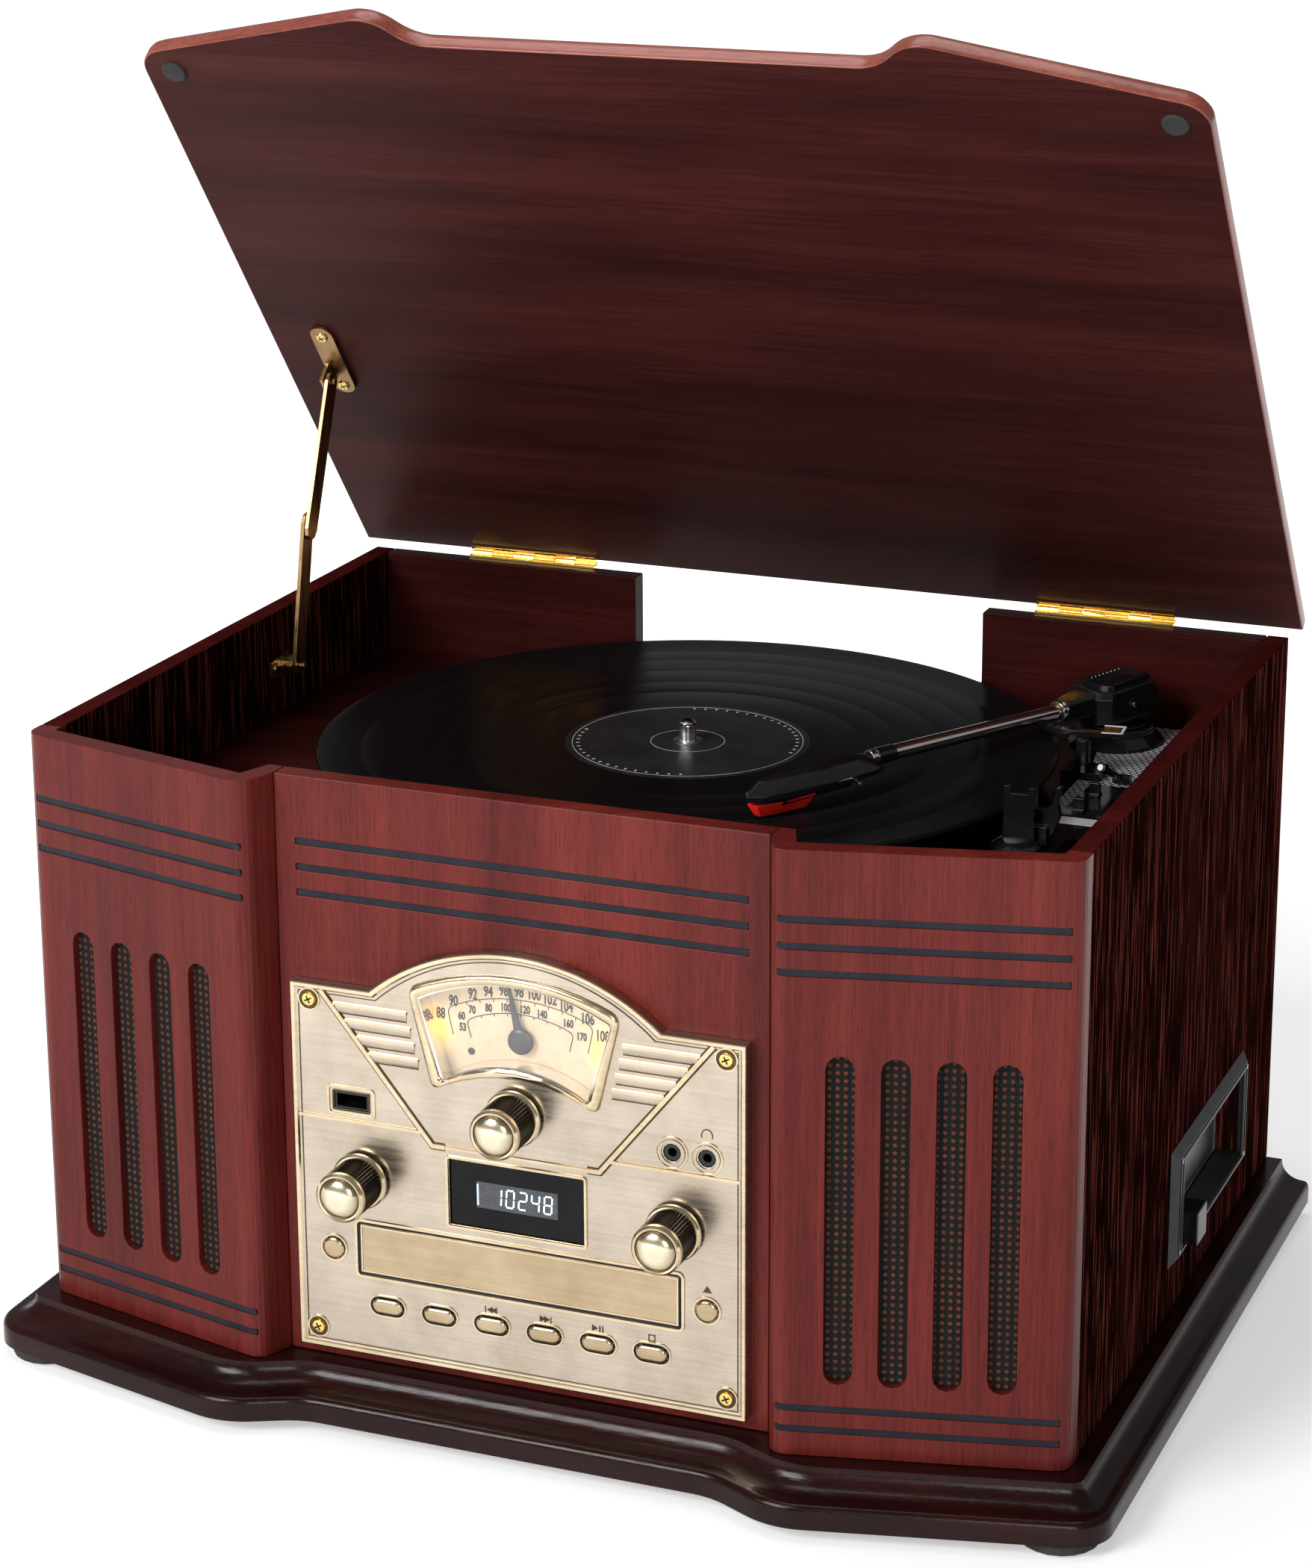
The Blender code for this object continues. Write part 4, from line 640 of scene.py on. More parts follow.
def make_lid():
    soft, over = 0.0008, 0.0042
    turns = [math.radians(22.5 * k) for k in range(5)]
    rows = [(soft * (1 - math.sin(a)), LID_LOW + soft * (1 - math.cos(a))) for a in turns]
    edge = [(over * (1 - math.cos(a)), LID_HIGH - over * (1 - math.sin(a))) for a in turns]
    board = closed_mesh([[(x, y, z) for x, y in lid_outline(inset)] for inset, z in rows + edge])
    # Faces pointing down get the wood darkened as painted shade, faces pointing up the lid's top wood, and the
    # edges the wood lightened as a painted highlight.
    for face in board.faces:
        face.material_index = 1 if face.normal.z < -0.9 else 2 if face.normal.z > 0.9 else 0
    parts = []
    for index, material in enumerate((HIGHLIT_EDGE_WOOD, SHADED_LID_UNDERSIDE_WOOD, LID_TOP_WOOD)):
        share = board.copy()
        bmesh.ops.delete(share, geom=[f for f in share.faces if f.material_index != index], context="FACES")
        parts.append((share, material))
    board.free()
    made = piece("lid_panel", parts, "lid", ("lid",), at=LID, sharp=50)
    weld = made.modifiers.new("weld", "WELD")
    weld.merge_threshold = 1e-5
    pads = []
    for x in (-0.205, 0.205):
        pad = turned([(0.0052, LID_LOW + 0.0003), (0.0052, LID_LOW - 0.0006), (0.0047, LID_LOW - 0.0012),
                      (0.0025, LID_LOW - 0.0014)], 32)
        pads.append((moved(pad, (x, -0.3035 - HINGE_Y, 0.0)), RUBBER))
    piece("lid_bumpers", pads, "lid", at=LID)


def cross_screw(radius, height):
    """A domed screw head with a cross recess, seated on z = 0 and facing +Z."""
    head = turned([(radius, -0.0003), (radius, height * 0.35), (radius * 0.86, height * 0.8),
                   (radius * 0.5, height), (radius * 0.2, height * 1.02)], 28)
    low, high = (-radius * 0.55, -radius * 0.11, height * 0.80), (radius * 0.55, radius * 0.11, height * 1.06)
    return head, [moved(block(low, high), turn=angle) for angle in (0.45, 0.45 + math.pi / 2)]


def screw_shapes(radius, height, material, place):
    head, bars = cross_screw(radius, height)
    return [(place(head), material)] + [(place(bar), GROOVE_PAINT) for bar in bars]


def make_hinges_and_stay():
    for side in ("left", "right"):
        repaint(GOLD, f"{side}_hinge_fixed_leaf", f"{side}_hinge_lid_leaf", bevel=0.0002)
    repaint(ANTIQUE, *(f"stay_{part}" for part in ("lower_arm", "upper_arm", "wall_bracket", "lid_bracket")),
            bevel=0.0003)
    y, z = STAY_LID_PIVOT
    shapes = []
    for at_y in (y - 0.0235, y + 0.0080):
        shapes += screw_shapes(0.0026, 0.0011, GOLD, lambda bm: moved(
            bm, (-0.1922, at_y, LID_LOW - 0.0019), math.pi, "X"))
    piece("lid_bracket_screws", shapes, "lid", at=LID)
    low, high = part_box("stay_wall_bracket")
    middle = Vector((0.0, low.y + (high.y - low.y) * 0.24 - SHIFT, (low.z + high.z) / 2))
    shapes = screw_shapes(0.0024, 0.0011, ANTIQUE, lambda bm: moved(
        bm, (-BODY_HALF + WALL + 0.0018, middle.y, middle.z), math.pi / 2, "Y"))
    piece("wall_bracket_screw", shapes)


# --- record player ---------------------------------------------------------------------------------------
def make_record():
    bottom, gaps = RECORD_TOP - RECORD_THICK, (0.133, 0.119, 0.103, 0.086, 0.071)
    profile = [(0.0038, bottom), (RECORD_RADIUS - 0.0006, bottom), (RECORD_RADIUS, bottom + 0.0006),
               (RECORD_RADIUS - 0.0004, RECORD_TOP - 0.0001), (RECORD_RADIUS - 0.0024, RECORD_TOP),
               (RECORD_RADIUS - 0.0044, RECORD_TOP - 0.0003)]
    for gap in gaps:
        profile += [(gap + offset, RECORD_TOP - depth) for offset, depth in
                    ((0.0005, 0.0003), (0.0, 0.00034), (-0.0005, 0.0003))]
    profile += [(0.0570, RECORD_TOP - 0.0003), (0.0520, RECORD_TOP - 0.0002), (0.0505, RECORD_TOP - 0.0002),
                (0.0038, RECORD_TOP - 0.0002)]
    disc = moved(turned(profile, 180, closed=True), (*SPINDLE, 0.0))
    piece("record_disc", [(disc, VINYL)], "platter", ("vinyl_record",), sharp=60)
    top = RECORD_TOP - 0.0002
    label = turned([(0.0038, top - 0.0002), (0.0500, top - 0.0002), (0.0500, top + 0.00010),
                    (0.0492, top + 0.00016), (0.0038, top + 0.00016)], 120, closed=True)
    shapes = [(label, LABEL_BLACK)]
    for radius, width in ((0.0470, 0.00022), (0.0150, 0.0002)):
        line = [(radius, top + 0.0001), (radius + width, top + 0.0001), (radius + width, top + 0.0002),
                (radius, top + 0.0002)]
        shapes.append((turned(line, 120, closed=True), WHITE_INK))
    for k in range(60):
        if k % 30 < 19:
            tick = block((0.0441, -0.0004, top + 0.0001), (0.0455, 0.0004, top + 0.0002))
            shapes.append((moved(tick, turn=math.tau * k / 60), WHITE_INK))
    for bm, _ in shapes:
        moved(bm, (*SPINDLE, 0.0))
    piece("record_label", shapes, "platter")
    pin = [(0.0036, RECORD_TOP - 0.0010), (0.0036, 0.2414), (0.0033, 0.2424), (0.0025, 0.2432),
           (0.0010, 0.2436)]
    boss = [(0.0062, RECORD_TOP - 0.0002), (0.0062, RECORD_TOP + 0.0003), (0.0052, RECORD_TOP + 0.0006)]
    piece("spindle_pin", [(moved(turned(pin, 32), (*SPINDLE, 0.0)), CHROME),
                          (moved(turned(boss, 32), (*SPINDLE, 0.0)), STEEL)], "platter")
    repaint(BLACK, "platter", bevel=0.0003)
    repaint(STEEL, "platter_motor")
    repaint(RUBBER, "drive_belt")


def arm_point(along, aside=0.0, z=0.0):
    c, s = math.cos(ARM_TURN), math.sin(ARM_TURN)
    return (ARM_AXIS.x - along * s - aside * c, ARM_AXIS.y - along * c + aside * s, z)


def arm_shape(*levels):
    """A body through (along, aside) outlines at rising heights, in the tonearm's plan view."""
    return closed_mesh([[arm_point(a, b, z) for a, b in outline] for outline, z in levels])


def scaled(outline, share, about=(0.0, 0.0)):
    return [(about[0] + (a - about[0]) * share, about[1] + (b - about[1]) * share) for a, b in outline]


def make_tonearm():
    housing = [(-0.0150, -0.0095), (-0.0150, 0.0095), (-0.0115, 0.0128), (0.0175, 0.0128),
               (0.0215, 0.0092), (0.0215, -0.0070), (0.0175, -0.0118), (-0.0115, -0.0128)]
    cap = [(-0.0125, -0.0080), (-0.0125, 0.0080), (0.0120, 0.0080), (0.0140, 0.0050), (0.0140, -0.0050),
           (0.0120, -0.0080)]
    shoulder = scaled(housing, 0.88, (0.003, 0))
    shapes = [(arm_shape((housing, 0.2316), (housing, 0.2424), (shoulder, 0.2452)), BLACK),
              (arm_shape((cap, 0.2445), (cap, 0.2464), (scaled(cap, 0.88), 0.2477)), BLACK)]
    for k in range(8):
        a = 0.0110 - 0.0026 * k
        dot = round_bar(arm_point(a, 0.0045, 0.2474), arm_point(a, 0.0045, 0.2479), 0.0003, 8)
        shapes.append((dot, WHITE_INK))
    neck_low = [(0.0200, -0.0062), (0.0200, 0.0078), (0.0375, 0.0046), (0.0375, -0.0046)]
    neck_top = [(0.0200, -0.0048), (0.0200, 0.0060), (0.0375, 0.0030), (0.0375, -0.0030)]
    shapes.append((arm_shape((neck_low, 0.2360), (neck_low, 0.2420), (neck_top, 0.2445)), BLACK))
    rise = math.tan(ARM_RISE)

    def on_tube(along):
        return arm_point(along, 0.0, 0.2400 + (along - 0.0374) * rise)

    shapes += [(round_bar(on_tube(0.034), on_tube(0.158), 0.0031, 28), CHROME),
               (round_bar(on_tube(0.0360), on_tube(0.0400), 0.0043, 28), CHROME),
               (round_bar(on_tube(0.0398), on_tube(0.0412), 0.0038, 28), DARK_BRASS),
               (round_bar(on_tube(0.1440), on_tube(0.1545), 0.0034, 28), BLACK)]
    shell = [(0.1545, 0.0052), (0.1545, -0.0052), (0.1610, -0.0066), (0.1850, -0.0046), (0.2150, 0.0014),
             (0.2205, 0.0070), (0.2165, 0.0110), (0.1800, 0.0086)]
    ridge = [(0.1600, 0.0026), (0.1600, -0.0026), (0.1640, -0.0034), (0.1840, -0.0018), (0.2100, 0.0034),
             (0.2140, 0.0066), (0.2110, 0.0086), (0.1810, 0.0056)]
    crest = scaled(ridge, 0.95, (0.187, 0.003))
    shapes.append((arm_shape((shell, 0.2425), (shell, 0.2446), (ridge, 0.2492), (crest, 0.2496)), GLOSS_BLACK))
    lift, tip = arm_point(0.172, -0.0040, 0.2440), arm_point(0.176, -0.0120, 0.2436)
    shapes.append((round_bar(lift, tip, 0.0008, 10), CHROME))
    arc = []
    for radius, order in ((0.0485, 1), (0.0520, -1)):
        angles = [math.radians(-112 + 37 * k / 18) for k in range(19)][::order]
        arc += [(ARM_AXIS.x + radius * math.cos(a), ARM_AXIS.y + radius * math.sin(a)) for a in angles]
    root = [(0.0480, -0.0022), (0.0480, 0.0018), (0.0525, 0.0018), (0.0525, -0.0022)]
    pad = [(0.1560, -0.0800), (0.1645, -0.0790), (0.1655, -0.0885), (0.1575, -0.0900)]
    line = ribbon(pad, [(-0.0006, 0.2380), (-0.0006, 0.2383), (0.0006, 0.2383), (0.0006, 0.2380)],
                  place=lambda a, b, c: (a, c, b))
    shapes += [(prism(arc, 0.2356, 0.2378), GLOSS_BLACK), (arm_shape((root, 0.2360), (root, 0.2400)), BLACK),
               (prism(pad, 0.2363, 0.2381), GLOSS_BLACK), (line, WHITE_AND_PAINTED_REFLECTION)]
    side = arm_point(0.004, -0.0120, 0.2382)
    way = Vector(arm_point(0.004, -0.0300, 0.2382)) - Vector(side)
    shapes += [(round_bar(side, Vector(side) + way.normalized() * 0.0009, 0.0028, 28), GLOSS_BLACK),
               (round_bar(side, Vector(side) + way.normalized() * 0.0013, 0.0012, 20), CHROME)]
    piece("tonearm_body", shapes, "tonearm", ("tonearm",), bevel=0.0003)

    body = [(0.1700, -0.0020), (0.1700, 0.0072), (0.2070, 0.0100), (0.2130, 0.0080), (0.2130, 0.0040),
            (0.2060, 0.0012)]
    guard_top = [(0.1890, -0.0004), (0.1890, 0.0088), (0.2080, 0.0120), (0.2168, 0.0098), (0.2168, 0.0048),
                 (0.2080, 0.0014)]
    guard_low = [(0.1930, 0.0012), (0.1930, 0.0072), (0.2050, 0.0100), (0.2140, 0.0088), (0.2140, 0.0054),
                 (0.2050, 0.0032)]
    point, root = arm_point(0.2105, 0.0068, RECORD_TOP), arm_point(0.2105, 0.0068, 0.2362)
    stylus = round_bar(point, root, 0.0003, 10, 0.0006)
    piece("cartridge_body", [(arm_shape((body, 0.2392), (body, 0.2424)), BLACK),
                             (arm_shape((guard_low, 0.2355), (guard_top, 0.2400), (guard_top, 0.2408)), RED),
                             (stylus, CHROME)], "tonearm", ("cartridge",), bevel=0.0003)


def make_chassis():
    repaint(GLOSS_BLACK, "turntable_chassis", bevel=0.0003)
    repaint(BLACK, "tonearm_gimbal", "arm_rest", "arm_clip", "cue_lift", bevel=0.0003)
    repaint(GLOSS_BLACK, "cue_lever", "speed_switch", "auto_stop_switch", bevel=0.0002)
    top = CHASSIS_Z
    plate = [(0.128, -0.0155), (0.1975, -0.0155), (0.1975, -0.1430), (0.1500, -0.1430), (0.1500, -0.0760),
             (0.1455, -0.0500), (0.1360, -0.0260)]
    panel = [(0.1568, -0.1012), (0.1975, -0.1012), (0.1975, -0.1430), (0.1552, -0.1430)]
    shapes = [(prism(plate, top - 0.0002, top + 0.0003), SCALE),
              (prism(panel, top, top + 0.0006), GLOSS_BLACK)]
    for k in range(9):
        mark = block((0.1760, -0.1090 - 0.0036 * k, top + 0.0005),
                     (0.1760 + (0.0040 if k % 2 else 0.0022), -0.1085 - 0.0036 * k, top + 0.0007))
        shapes.append((mark, WHITE_INK))
    piece("arm_base_plate", shapes)
    # A white strip along the front of the arm plate: a painted reflection of light on a shiny black bevel.
    bevel = side_prism([(-0.1443, top - 0.0005), (-0.1443, top + 0.0004), (-0.1520, top + 0.0002),
                        (-0.1520, top - 0.0005)], 0.1500, 0.1990)
    piece("front_bevel_painted_reflection", [(bevel, WHITE_AND_PAINTED_REFLECTION)], bevel=0.0002)
    rings = []
    for radius, z, height, material in ((0.0208, CHASSIS_Z, 0.0012, GLOSS_BLACK),
                                        (0.0182, 0.2222, 0.0008, BLACK),
                                        (0.0168, 0.2250, 0.0010, GLOSS_BLACK)):
        ring = turned([(radius - 0.0030, z - 0.0004), (radius, z - 0.0004), (radius, z + height * 0.6),
                       (radius - 0.0006, z + height), (radius - 0.0030, z + height)], 64, closed=True)
        rings.append((moved(ring, (*ARM_AXIS, 0.0)), material))
    piece("tower_rings", rings)
    tip = LEVER_PIVOT + LEVER_REACH
    piece("lever_cap", [(round_bar(tip - LEVER_REACH * 0.01, tip + LEVER_REACH * 0.03, 0.0013, 24), STEEL)],
          "cue_lever")
    x, y = REST_AT
    boss = turned([(0.0080, 0.2222), (0.0080, 0.2229), (0.0070, 0.2236), (0.0045, 0.2240)], 48)
    piece("rest_collar", [(moved(boss, (x - 0.0012, y - 0.0023, 0.0)), GLOSS_BLACK)])


# --- radio unit ------------------------------------------------------------------------------------------
def text_shape(words, size, x, z, y, squeeze):
    """Digits facing the front, centred on (x, z)."""
    curve = bpy.data.curves.new("digits", "FONT")
    curve.body, curve.size, curve.align_x, curve.align_y = words, size, "CENTER", "CENTER"
    curve.extrude, curve.offset, curve.resolution_u = 0.00010, 0.00014, 3
    held = bpy.data.objects.new("digits", curve)
    mesh = bpy.data.meshes.new_from_object(held)
    bm = bmesh.new()
    bm.from_mesh(mesh)
    for data, owner in ((held, bpy.data.objects), (curve, bpy.data.curves), (mesh, bpy.data.meshes)):
        owner.remove(data)
    bm.transform(Matrix.Translation((x, y, z)) @ Matrix.Rotation(math.pi / 2, 4, "X") @ Matrix.Diagonal(
        (squeeze, 1.0, 1.0, 1.0)))
    return bm


def make_faceplate():
    repaint(BRASS, "faceplate", bevel=0.0003)

    def inner(inset):
        low = [(-PLATE_HALF + inset, PLATE_LOW + inset), (-PLATE_HALF + inset, PLATE_HIGH - inset)]
        half, z = ARCH_HALF - inset * 0.8, PLATE_HIGH - inset
        top = arc_between((-half, z), (half, z), ARCH_TOP - PLATE_HIGH, 40)
        return low + top + [(-x, z) for x, z in reversed(low)]

    rows = [(0.0, PLATE_FACE + 0.0003), (0.0, PLATE_FACE - 0.0003), (0.0004, PLATE_FACE - 0.0007),
            (0.0017, PLATE_FACE - 0.0007), (0.0023, PLATE_FACE - 0.0001), (0.0023, PLATE_FACE + 0.0003)]
    rings = [[(x, y, z) for x, z in inner(inset)] for inset, y in rows]
    shapes = [(closed_mesh(rings, caps=False), EDGE_BRASS)]
    rows = [(0.0032, PLATE_FACE + 0.0003), (0.0032, PLATE_FACE - 0.0002), (0.0036, PLATE_FACE - 0.0002),
            (0.0036, PLATE_FACE + 0.0003)]
    shapes.append((closed_mesh([[(x, y, z) for x, z in inner(i)] for i, y in rows], caps=False), DARK_BRASS))
    piece("plate_border", shapes)

    # the V-shaped rib, its cross lines and the wing bars beside the dial
    rib = [(-0.0800, 0.1782), (-0.0343, 0.1214), (0.0343, 0.1214), (0.0800, 0.1782)]
    left, right = rib[:2] + [(-0.0292, 0.1214)], [(0.0292, 0.1214)] + rib[2:]
    shapes = []
    for line in (left, right):
        shapes.append((ribbon(line, raised(0.0024, 0.0007)), EDGE_BRASS))
        shapes.append((ribbon(line, strip(0.0016, PLATE_FACE + 0.0002, PLATE_FACE - 0.0001)), DARK_BRASS))
    shapes.append((ribbon([(-0.0300, 0.1214), (0.0300, 0.1214)], raised(0.0016, 0.0005)), EDGE_BRASS))
    for side in (-1, 1):
        line = [(side * 0.0905, 0.1262), (side * 0.0388, 0.1262)]
        shapes.append((ribbon(line, raised(0.0018, 0.0006)), EDGE_BRASS))
        for k in range(4):
            z = 0.1722 - 0.00610 * k
            outer, near = 0.0738 - 0.00480 * k, 0.0440 - 0.00150 * k
            for offset, high, width in ((0.0, 0.0004, 0.0040), (0.0012, 0.0008, 0.0014)):
                bar = [(side * (outer + offset * 0.8), z + offset), (side * near, z + offset)]
                shapes.append((ribbon(bar, raised(width, high)), EDGE_BRASS if offset else BRASS))
            shapes.append((ribbon([(side * (outer - 0.0022), z - 0.0024), (side * near, z - 0.0024)],
                                  raised(0.0006, 0.00015)), DARK_BRASS))
    piece("plate_ribs", shapes)

    # frames round the dial, display, drawer, socket and jacks
    shapes = []
    def dial_ring(inset):
        outline = dial_outline(inset, 10)
        radii = [0.0020 + max(0.0, -inset) if k in (0, 10, 11, 21) else 0.0 for k in range(22)]
        return rounded(outline, radii, 5)

    bezel = [dial_ring(inset) for inset in (0.0001, 0.0001, -0.0007, -0.0024, -0.0033, -0.0037, -0.0037)]
    depths = [0.0003, -0.0009, -0.0015, -0.0015, -0.0010, -0.0002, 0.0003]
    rings = [[(x, PLATE_FACE + depth, z) for x, z in outline] for outline, depth in zip(bezel, depths)]
    shapes.append((closed_mesh(rings, caps=False), EDGE_BRASS))
    rings = [[(x, y, z) for x, z in dial_outline(inset)] for inset, y in
             ((0.0001, PLATE_FACE), (0.0001, -0.3182), (0.0008, -0.3182), (0.0008, PLATE_FACE + 0.0002))]
    shapes.append((closed_mesh(rings, caps=False), CHROME))

    def ring_round(line, width, height, material=EDGE_BRASS):
        shapes.append((ribbon(line, raised(width, height), closed=True), material))

    def frame_round(cx, cz, half_x, half_z, width, height, radius, material=EDGE_BRASS):
        ring_round(rounded(rectangle(cx, cz, half_x, half_z), [radius] * 4, 5), width, height, material)

    display_z, drawer_z = (DISPLAY_LOW + DISPLAY_HIGH) / 2, (DRAWER_LOW + DRAWER_HIGH) / 2
    frame_round(0.0, display_z, DISPLAY_HALF + 0.0011, 0.0142, 0.0014, 0.0007, 0.0012)
    frame_round(0.0, drawer_z, DRAWER_HALF + 0.0016, 0.0117, 0.0015, 0.0006, 0.0022)
    frame_round(0.0, drawer_z, DRAWER_HALF + 0.0004, 0.0105, 0.0011, 0.00012, 0.0006, GROOVE_PAINT)
    frame_round(USB_X, USB_Z, 0.0096, 0.0056, 0.0012, 0.0005, 0.0014)
    frame_round(USB_X, USB_Z, 0.0076, 0.0039, 0.0007, 0.0004, 0.0004, DARK_BRASS)
    for x, z in JACKS:
        ring_round(circle(x, z, 0.0062), 0.0006, 0.0005)
        ring_round(circle(x, z, 0.0047), 0.0014, 0.0005, BRASS)
    for x in BUTTONS:
        ring_round(pill(x, BUTTON_Z, BUTTON_HALF, BUTTON_RADIUS + 0.0012), 0.0008, 0.0005)
        ring_round(pill(x, BUTTON_Z, BUTTON_HALF, BUTTON_RADIUS + 0.0005), 0.0006, 0.00015, GROOVE_PAINT)
    for side in (-1, 1):
        ring_round(circle(side * ROUND_X, ROUND_Z, 0.0053), 0.0010, 0.0005)
    piece("control_frames", shapes)

    shapes = []
    for x in (-0.0849, 0.0849):
        for z in (0.1738, 0.0379):
            shapes += screw_shapes(0.0029, 0.0012, GOLD, lambda bm: facing_front(bm, x, z, PLATE_FACE))
            shapes.append((ribbon(circle(x, z, 0.0043, 36), raised(0.0008, 0.0005), closed=True), EDGE_BRASS))
            seat = turned([(0.0039, -0.0001), (0.0039, 0.00015)], 32)
            shapes.append((facing_front(seat, x, z, PLATE_FACE), DARK_BRASS))
    piece("plate_screws", shapes)

    # transport signs above the buttons: back, forward, play and pause, stop, and open above the round button
    shapes = []

    def sign(outline):
        shapes.append((front_prism(outline, PLATE_FACE - 0.0002, PLATE_FACE + 0.0002), DARK_BRASS))

    def triangle(x, z, size, point):
        reach = point * size * 0.45
        sign([(x - reach, z - size / 2), (x + reach, z), (x - reach, z + size / 2)])

    def bar(x, z, width, height):
        sign(rectangle(x, z, width / 2, height / 2))

    z = BUTTON_Z + 0.0062
    for x, point in ((BUTTONS[2], -1), (BUTTONS[3], 1)):
        triangle(x - 0.0008, z, 0.0026, point)
        triangle(x + 0.0010, z, 0.0026, point)
        bar(x + point * 0.0026, z, 0.0004, 0.0026)
    triangle(BUTTONS[4] - 0.0012, z, 0.0026, 1)
    bar(BUTTONS[4] + 0.0008, z, 0.0005, 0.0026)
    bar(BUTTONS[4] + 0.0020, z, 0.0005, 0.0026)
    for offset in (0.0012, -0.0012):
        bar(BUTTONS[5], z + offset, 0.0028, 0.0004)
        bar(BUTTONS[5] + offset, z, 0.0004, 0.0028)
    sign([(ROUND_X - 0.0018, ROUND_Z + 0.0073), (ROUND_X + 0.0018, ROUND_Z + 0.0073), (ROUND_X, ROUND_Z + 0.0100)])
    arc = [(0.0772 + 0.0022 * math.cos(a), 0.1425 + 0.0026 * math.sin(a)) for a in
           [math.radians(-20 + 22 * k) for k in range(11)]]
    shapes.append((ribbon(arc, raised(0.0005, 0.0002)), DARK_BRASS))
    piece("control_signs", shapes)


def make_dial():
    repaint(PAPER, "dial_scale")
    repaint(LENS, "dial_lens")
    y = -0.3179
    shapes = []
    angles = (-36.0, -29.5, -20.5, -13.6, -7.0, -0.6, 5.6, 12.2, 19.2, 28.8, 36.0)
    for number, angle in zip(range(88, 110, 2), angles):
        a = math.radians(angle)
        drop = 0.0022 if abs(angle) > 33 else 0.0
        shapes.append((text_shape(str(number), 0.0060, -0.0006 + 0.0562 * math.sin(a),
                                  0.1288 + 0.0562 * math.cos(a) - drop, y, 0.62), DARK_INK))
    for number, x, z in ((53, -0.0246, 0.1677), (60, -0.0250, 0.1722), (70, -0.0206, 0.1752),
                         (80, -0.0138, 0.1769), (100, -0.0068, 0.1780), (120, 0.0010, 0.1782),
                         (140, 0.0080, 0.1774), (160, 0.0186, 0.1752), (170, 0.0240, 0.1707)):
        shapes.append((text_shape(str(number), 0.0043, x, z, y, 0.66), DARK_INK))

    def scale_line(points, ticks, size):
        smooth = rounded(points, [0.0] + [0.0035] * (len(points) - 2) + [0.0], 5, closed=False)
        shapes.append((ribbon(smooth, strip(0.00016, y, y - 0.0001)), DARK_INK))
        for x, z in ticks:
            way = Vector((x, z - 0.120)).normalized() * size
            tick = ribbon([(x, z), (x + way.x, z + way.y)], strip(0.00014, y, y - 0.0001))
            shapes.append((tick, DARK_INK))

    outer = [(-0.0286, 0.1644), (-0.0309, 0.1748), *arc_between((-0.0262, 0.1770), (0.0252, 0.1770), 0.0049, 12),
             (0.0288, 0.1748), (0.0265, 0.1644)]
    scale_line(outer, arc_between((-0.0230, 0.1783), (0.0220, 0.1783), 0.0036, 8), -0.0014)
    inner = [(-0.0212, 0.1642), (-0.0230, 0.1708), *arc_between((-0.0190, 0.1728), (0.0175, 0.1728), 0.0034, 10),
             (0.0208, 0.1712), (0.0191, 0.1642)]
    scale_line(inner, arc_between((-0.0170, 0.1736), (0.0155, 0.1736), 0.0026, 6), -0.0012)
    for k in range(34):
        a = math.radians(-27 + 54 * k / 33)
        dot = rectangle(0.0545 * math.sin(a), 0.1010 + 0.0545 * math.cos(a), 0.0002, 0.0002)
        shapes.append((front_prism(dot, y - 0.0001, y), DARK_INK))
    stud = turned([(0.0014, 0.0), (0.0014, 0.0003), (0.0009, 0.0007)], 20)
    shapes.append((facing_front(stud, -0.0212, 0.1586, y), POINTER_GREY))
    piece("dial_markings", shapes)

    x, z = DIAL_HUB
    hub = turned([(0.0014, 0.3120), (0.0014, 0.3190), (0.0050, 0.3190), (0.0052, 0.3196), (0.0050, 0.3206),
                  (0.0040, 0.3213), (0.0022, 0.3214)], 40)
    needle = [(-0.0017, 0.002), (0.0017, 0.002), (0.0005, 0.0225), (-0.0005, 0.0225)]
    needle = front_prism(needle, -0.3205, -0.3195)
    needle.transform(Matrix.Translation((x, 0.0, z)) @ Matrix.Rotation(POINTER_TURN, 4, "Y"))
    piece("pointer_needle", [(facing_front(hub, x, z), POINTER_GREY), (needle, POINTER_GREY)], "dial_pointer",
          ("dial_pointer",), bevel=0.0002)


def make_knobs():
    """Fluted dark barrels between bright rims, with a glassy domed cap."""
    for name, (x, z) in KNOBS.items():
        flange = [(0.0030, 0.3278), (0.0112, 0.3278), (0.0112, 0.3290), (0.0106, 0.3296), (0.0098, 0.3298)]
        barrel = [(0.0098, 0.3296), (0.0100, 0.3302), (0.0100, 0.3432), (0.0096, 0.3440)]
        rim = [(0.0099, 0.3434), (0.0101, 0.3440), (0.0099, 0.3452), (0.0091, 0.3460), (0.0083, 0.3458),
               (0.0081, 0.3450)]
        dome = [(0.0082, 0.3446), (0.0080, 0.3456), (0.0072, 0.3466), (0.0058, 0.3474), (0.0040, 0.3480),
                (0.0020, 0.3483), (0.0006, 0.3484)]
        shapes = [(turned(flange, 56), EDGE_BRASS), (turned(barrel, 96, ribs=(1, 2)), BARREL),
                  (turned(rim, 56), EDGE_BRASS), (turned(dome, 56), CAP)]
        if name != "volume_knob":
            shapes.append((turned([(0.0030, 0.3050), (0.0030, 0.3280)], 24), STEEL))
        for bm, _ in shapes:
            facing_front(bm, x, z)
        piece(f"{name}_turned", shapes, name, (name,), sharp=30)


